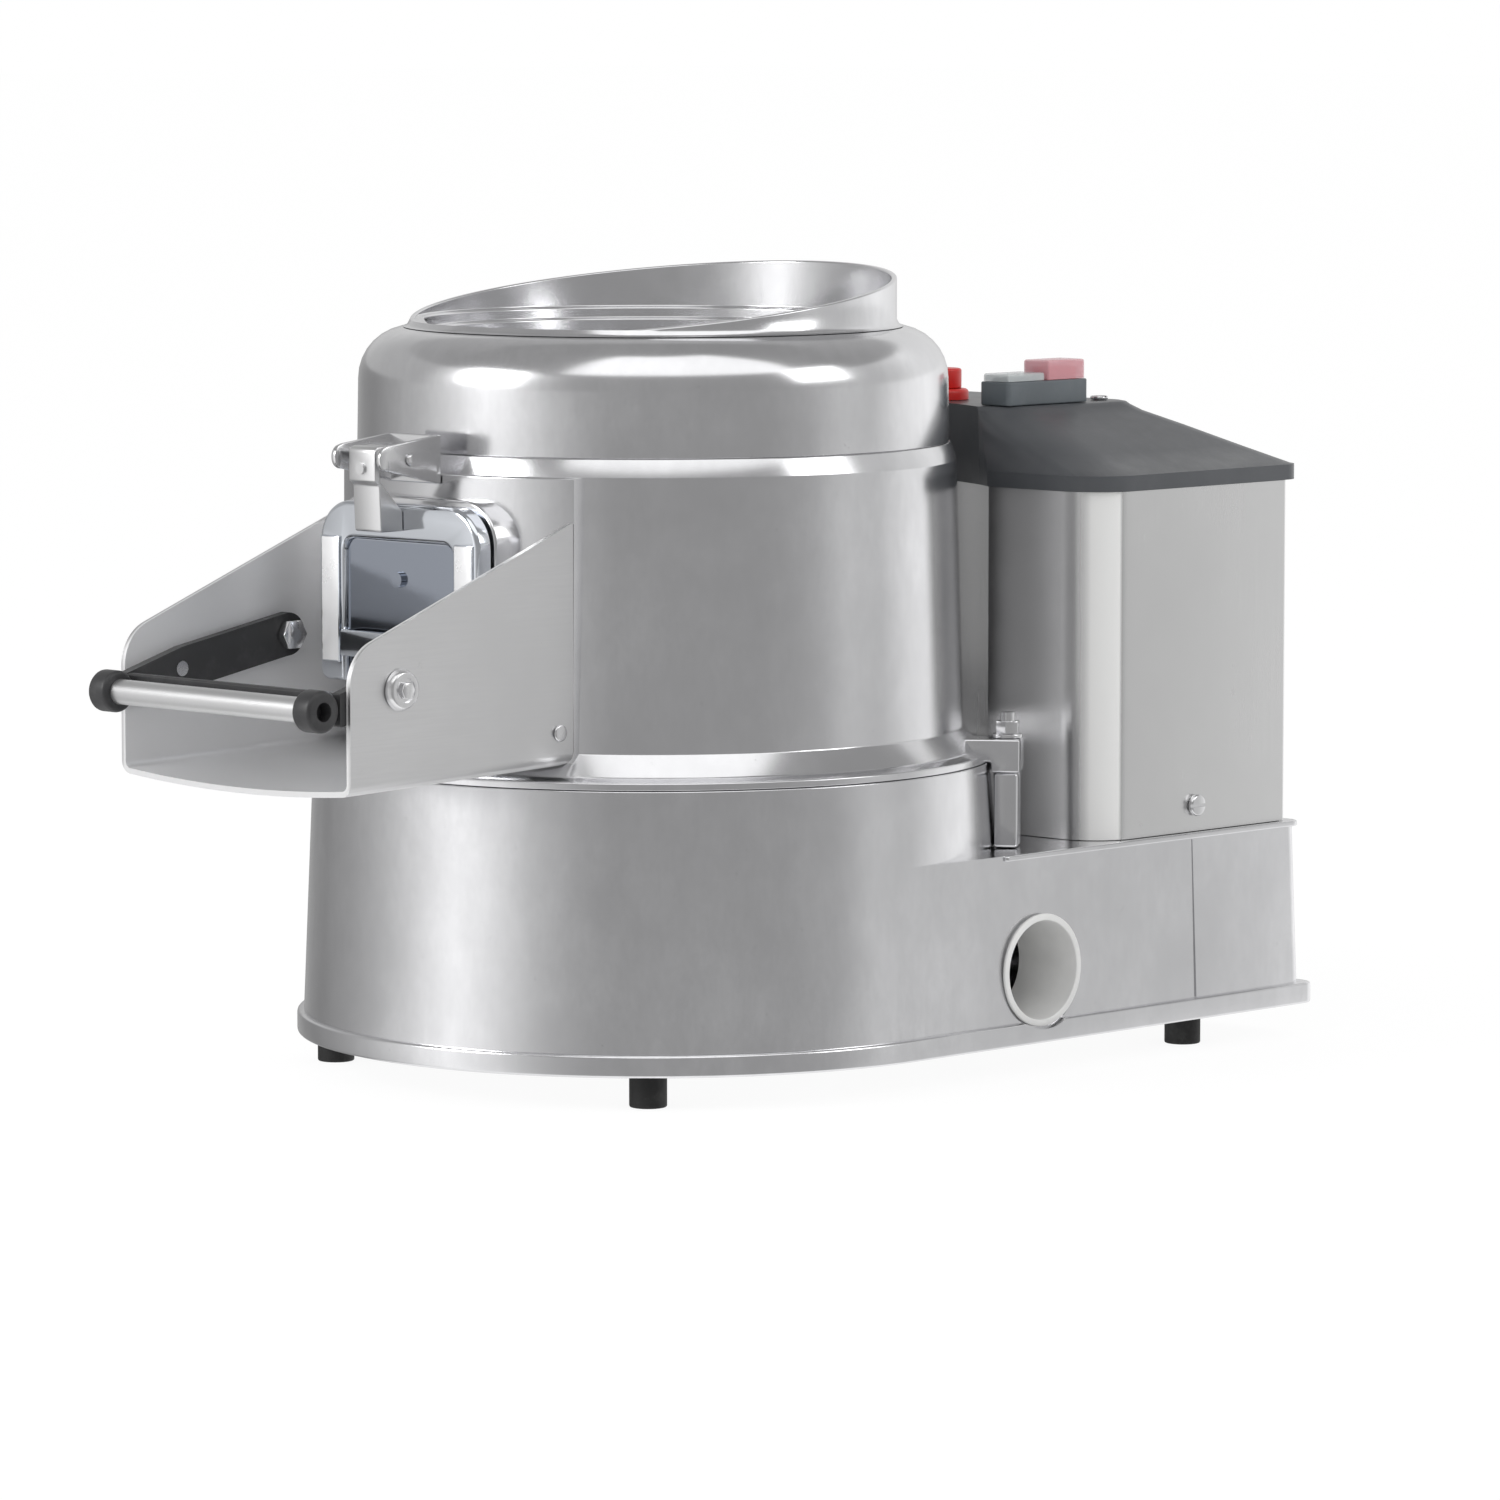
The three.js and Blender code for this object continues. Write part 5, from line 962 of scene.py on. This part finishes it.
# studio: the photo's camera, a white room, two soft lamps and cards that only reflections see
studio = {"azimuth": 44.334, "pitch": 5.938, "lens": 180.57, "distance": 4.10236, "aimRight": 0.0524,
          "aimUp": 0.170, "worldLevel": 0.75, "floor": 0.9, "floorGlow": 1.05, "floorWhite": 0.86}
azimuth = math.radians(studio["azimuth"])
pitch = math.radians(studio["pitch"])
back = Vector((math.sin(azimuth) * math.cos(pitch), -math.cos(azimuth) * math.cos(pitch), math.sin(pitch)))
right = Vector((math.cos(azimuth), math.sin(azimuth), 0))
aim = drumAxis + right * studio["aimRight"] + Vector((0, 0, studio["aimUp"]))
white = (1, 1, 1, 1)


def facing(where, direction):
    return Matrix.Translation(where) @ direction.to_track_quat("-Z", "Y").to_matrix().to_4x4()


lens = bpy.data.cameras.new("camera")
lens.lens = studio["lens"]
lens.sensor_width = 36
camera = placed("camera", lens)
camera.matrix_world = facing(aim + back * studio["distance"], -back)
scene.camera = camera

world = bpy.data.worlds.new("white room")
scene.world = world
world.use_nodes = True
sky = Graph(world.node_tree)
rays = [sky.node("ShaderNodeLightPath", {}, {}, "Is " + kind + " Ray")
        for kind in ("Camera", "Glossy", "Transmission")]
strength = sky.spread(rays[0] + rays[1] + rays[2], 0, 1, studio["worldLevel"], 1)
light = sky.node("ShaderNodeBackground", {}, {"Color": white, "Strength": strength})
sky.node("ShaderNodeOutputWorld", {}, {"Surface": light})


def staged(name, bm, material):
    made = linked(name, bm)
    made.data.materials.append(material)
    return made


floorMaterial, graph = newGraph("pale floor", (studio["floor"],) * 3)
cameraRay = graph.node("ShaderNodeLightPath", {}, {}, "Is Camera Ray")
paint = graph.node("ShaderNodeBsdfDiffuse", {}, {"Color": (*(studio["floor"],) * 3, 1)})
glow = graph.node("ShaderNodeEmission", {}, {"Color": white, "Strength": studio["floorGlow"]})
graph.finish(graph.node("ShaderNodeMixShader", {}, {0: cameraRay * studio["floorWhite"], 1: paint, 2: glow}))
floorMesh = bmesh.new()
bmesh.ops.create_grid(floorMesh, x_segments=1, y_segments=1, size=30)
floor = staged("floor", floorMesh, floorMaterial)
floor.visible_glossy = False

# rings of card round the object; each stop is degrees off the camera and brightness
cards = {
    "lowRing": {"from": -2.4, "to": 0.62, "stops": [
        (-180, 0.5), (-150, 0.3), (-137, 0.26), (-115, 0.38), (-98, 0.52), (-84, 0.75), (-66, 1.15),
        (-50, 0.85), (-38, 0.58), (-26, 0.42), (-14, 0.34), (44, 0.35), (62, 0.42), (76, 0.62), (92, 0.56),
        (108, 0.85), (130, 1.1), (160, 0.8), (180, 0.5)]},
    "midRing": {"from": 0.62, "to": 2.1, "stops": [
        (-180, 0.7), (-150, 0.5), (-100, 0.42), (-84, 0.75), (-66, 1.0), (-50, 0.7), (-38, 0.45), (-26, 0.34),
        (50, 0.33), (66, 0.42), (80, 0.55), (100, 0.55), (130, 0.9), (160, 0.8), (180, 0.7)]},
    "highRing": {"from": 2.1, "to": 4.6, "stops": [(-180, 0.45), (-100, 0.32), (100, 0.32), (180, 0.45)]},
}
ringRadius = 3
aboutAzimuth = Matrix.Rotation(math.atan2(back.y, back.x), 4, "Z")


# a card that only reflections see, which glows evenly or by a ring's stops
def hang(name, bm, strength, stops=None):
    material, graph = newGraph(name + " card", (0.5, 0.5, 0.5))
    paint = white
    if stops:
        place = {"Vector": graph.objectPlace()}
        around = graph.node("ShaderNodeTexGradient", {"gradient_type": "RADIAL"}, place, "Fac")
        paint = graph.ramp(around, [(angle / 360 + 0.5, (level,) * 3) for angle, level in stops])
    graph.finish(graph.node("ShaderNodeEmission", {}, {"Color": paint, "Strength": strength}))
    card = staged(name, bm, material)
    for ray in ("camera", "diffuse", "shadow", "transmission"):
        setattr(card, "visible_" + ray, False)
    return card


for name, card in cards.items():
    bm = bmesh.new()
    upright = [bm.verts.new((ringRadius, 0, z)) for z in (card["from"], card["to"])]
    swept(bm, upright + [bm.edges.new(upright)], 96)
    hang(name, bm, 1.0, card["stops"]).matrix_world = aboutAzimuth
# softbox high in front: the bright band round the hood's shoulder
softbox = {"radius": 2.9, "centre": 0.38, "low": 33, "high": 78, "left": -37, "right": 64, "glow": 1.25,
           "arcSteps": 16, "steps": 24}
bm = bmesh.new()
arc = []
for i in range(softbox["arcSteps"] + 1):
    angle = math.radians(softbox["low"] + (softbox["high"] - softbox["low"]) * i / softbox["arcSteps"])
    up = softbox["centre"] + softbox["radius"] * math.sin(angle)
    arc.append(bm.verts.new((softbox["radius"] * math.cos(angle), 0, up)))
edges = [bm.edges.new(ends) for ends in zip(arc, arc[1:])]
spun(bm, softbox["left"])
swept(bm, arc + edges, softbox["steps"], softbox["right"] - softbox["left"])
hang("softbox", bm, softbox["glow"]).matrix_world = aboutAzimuth
ceiling = bmesh.new()
bmesh.ops.create_circle(ceiling, cap_ends=True, radius=ringRadius, segments=48,
                        matrix=Matrix.Translation((0, 0, cards["highRing"]["to"])))
hang("ceiling", ceiling, 0.32)


def softLamp(name, angle, height, distance, size, power):
    lamp = bpy.data.lights.new(name, "AREA")
    lamp.shape = "SQUARE"
    lamp.size = size
    lamp.energy = power
    flatBack = Vector((back.x, back.y, 0)).normalized()
    away = Matrix.Rotation(math.radians(angle), 3, "Z") @ flatBack
    where = drumAxis + away * distance + Vector((0, 0, height))
    placed(name, lamp).matrix_world = facing(where, drumAxis + Vector((0, 0, 0.2)) - where)


softLamp("leftKey", angle=-66, height=1.3, distance=2.4, size=1.0, power=22)
softLamp("rightFill", angle=70, height=1.6, distance=2.6, size=1.2, power=10)
scene.view_settings.view_transform = "Standard"

print("studio ready")
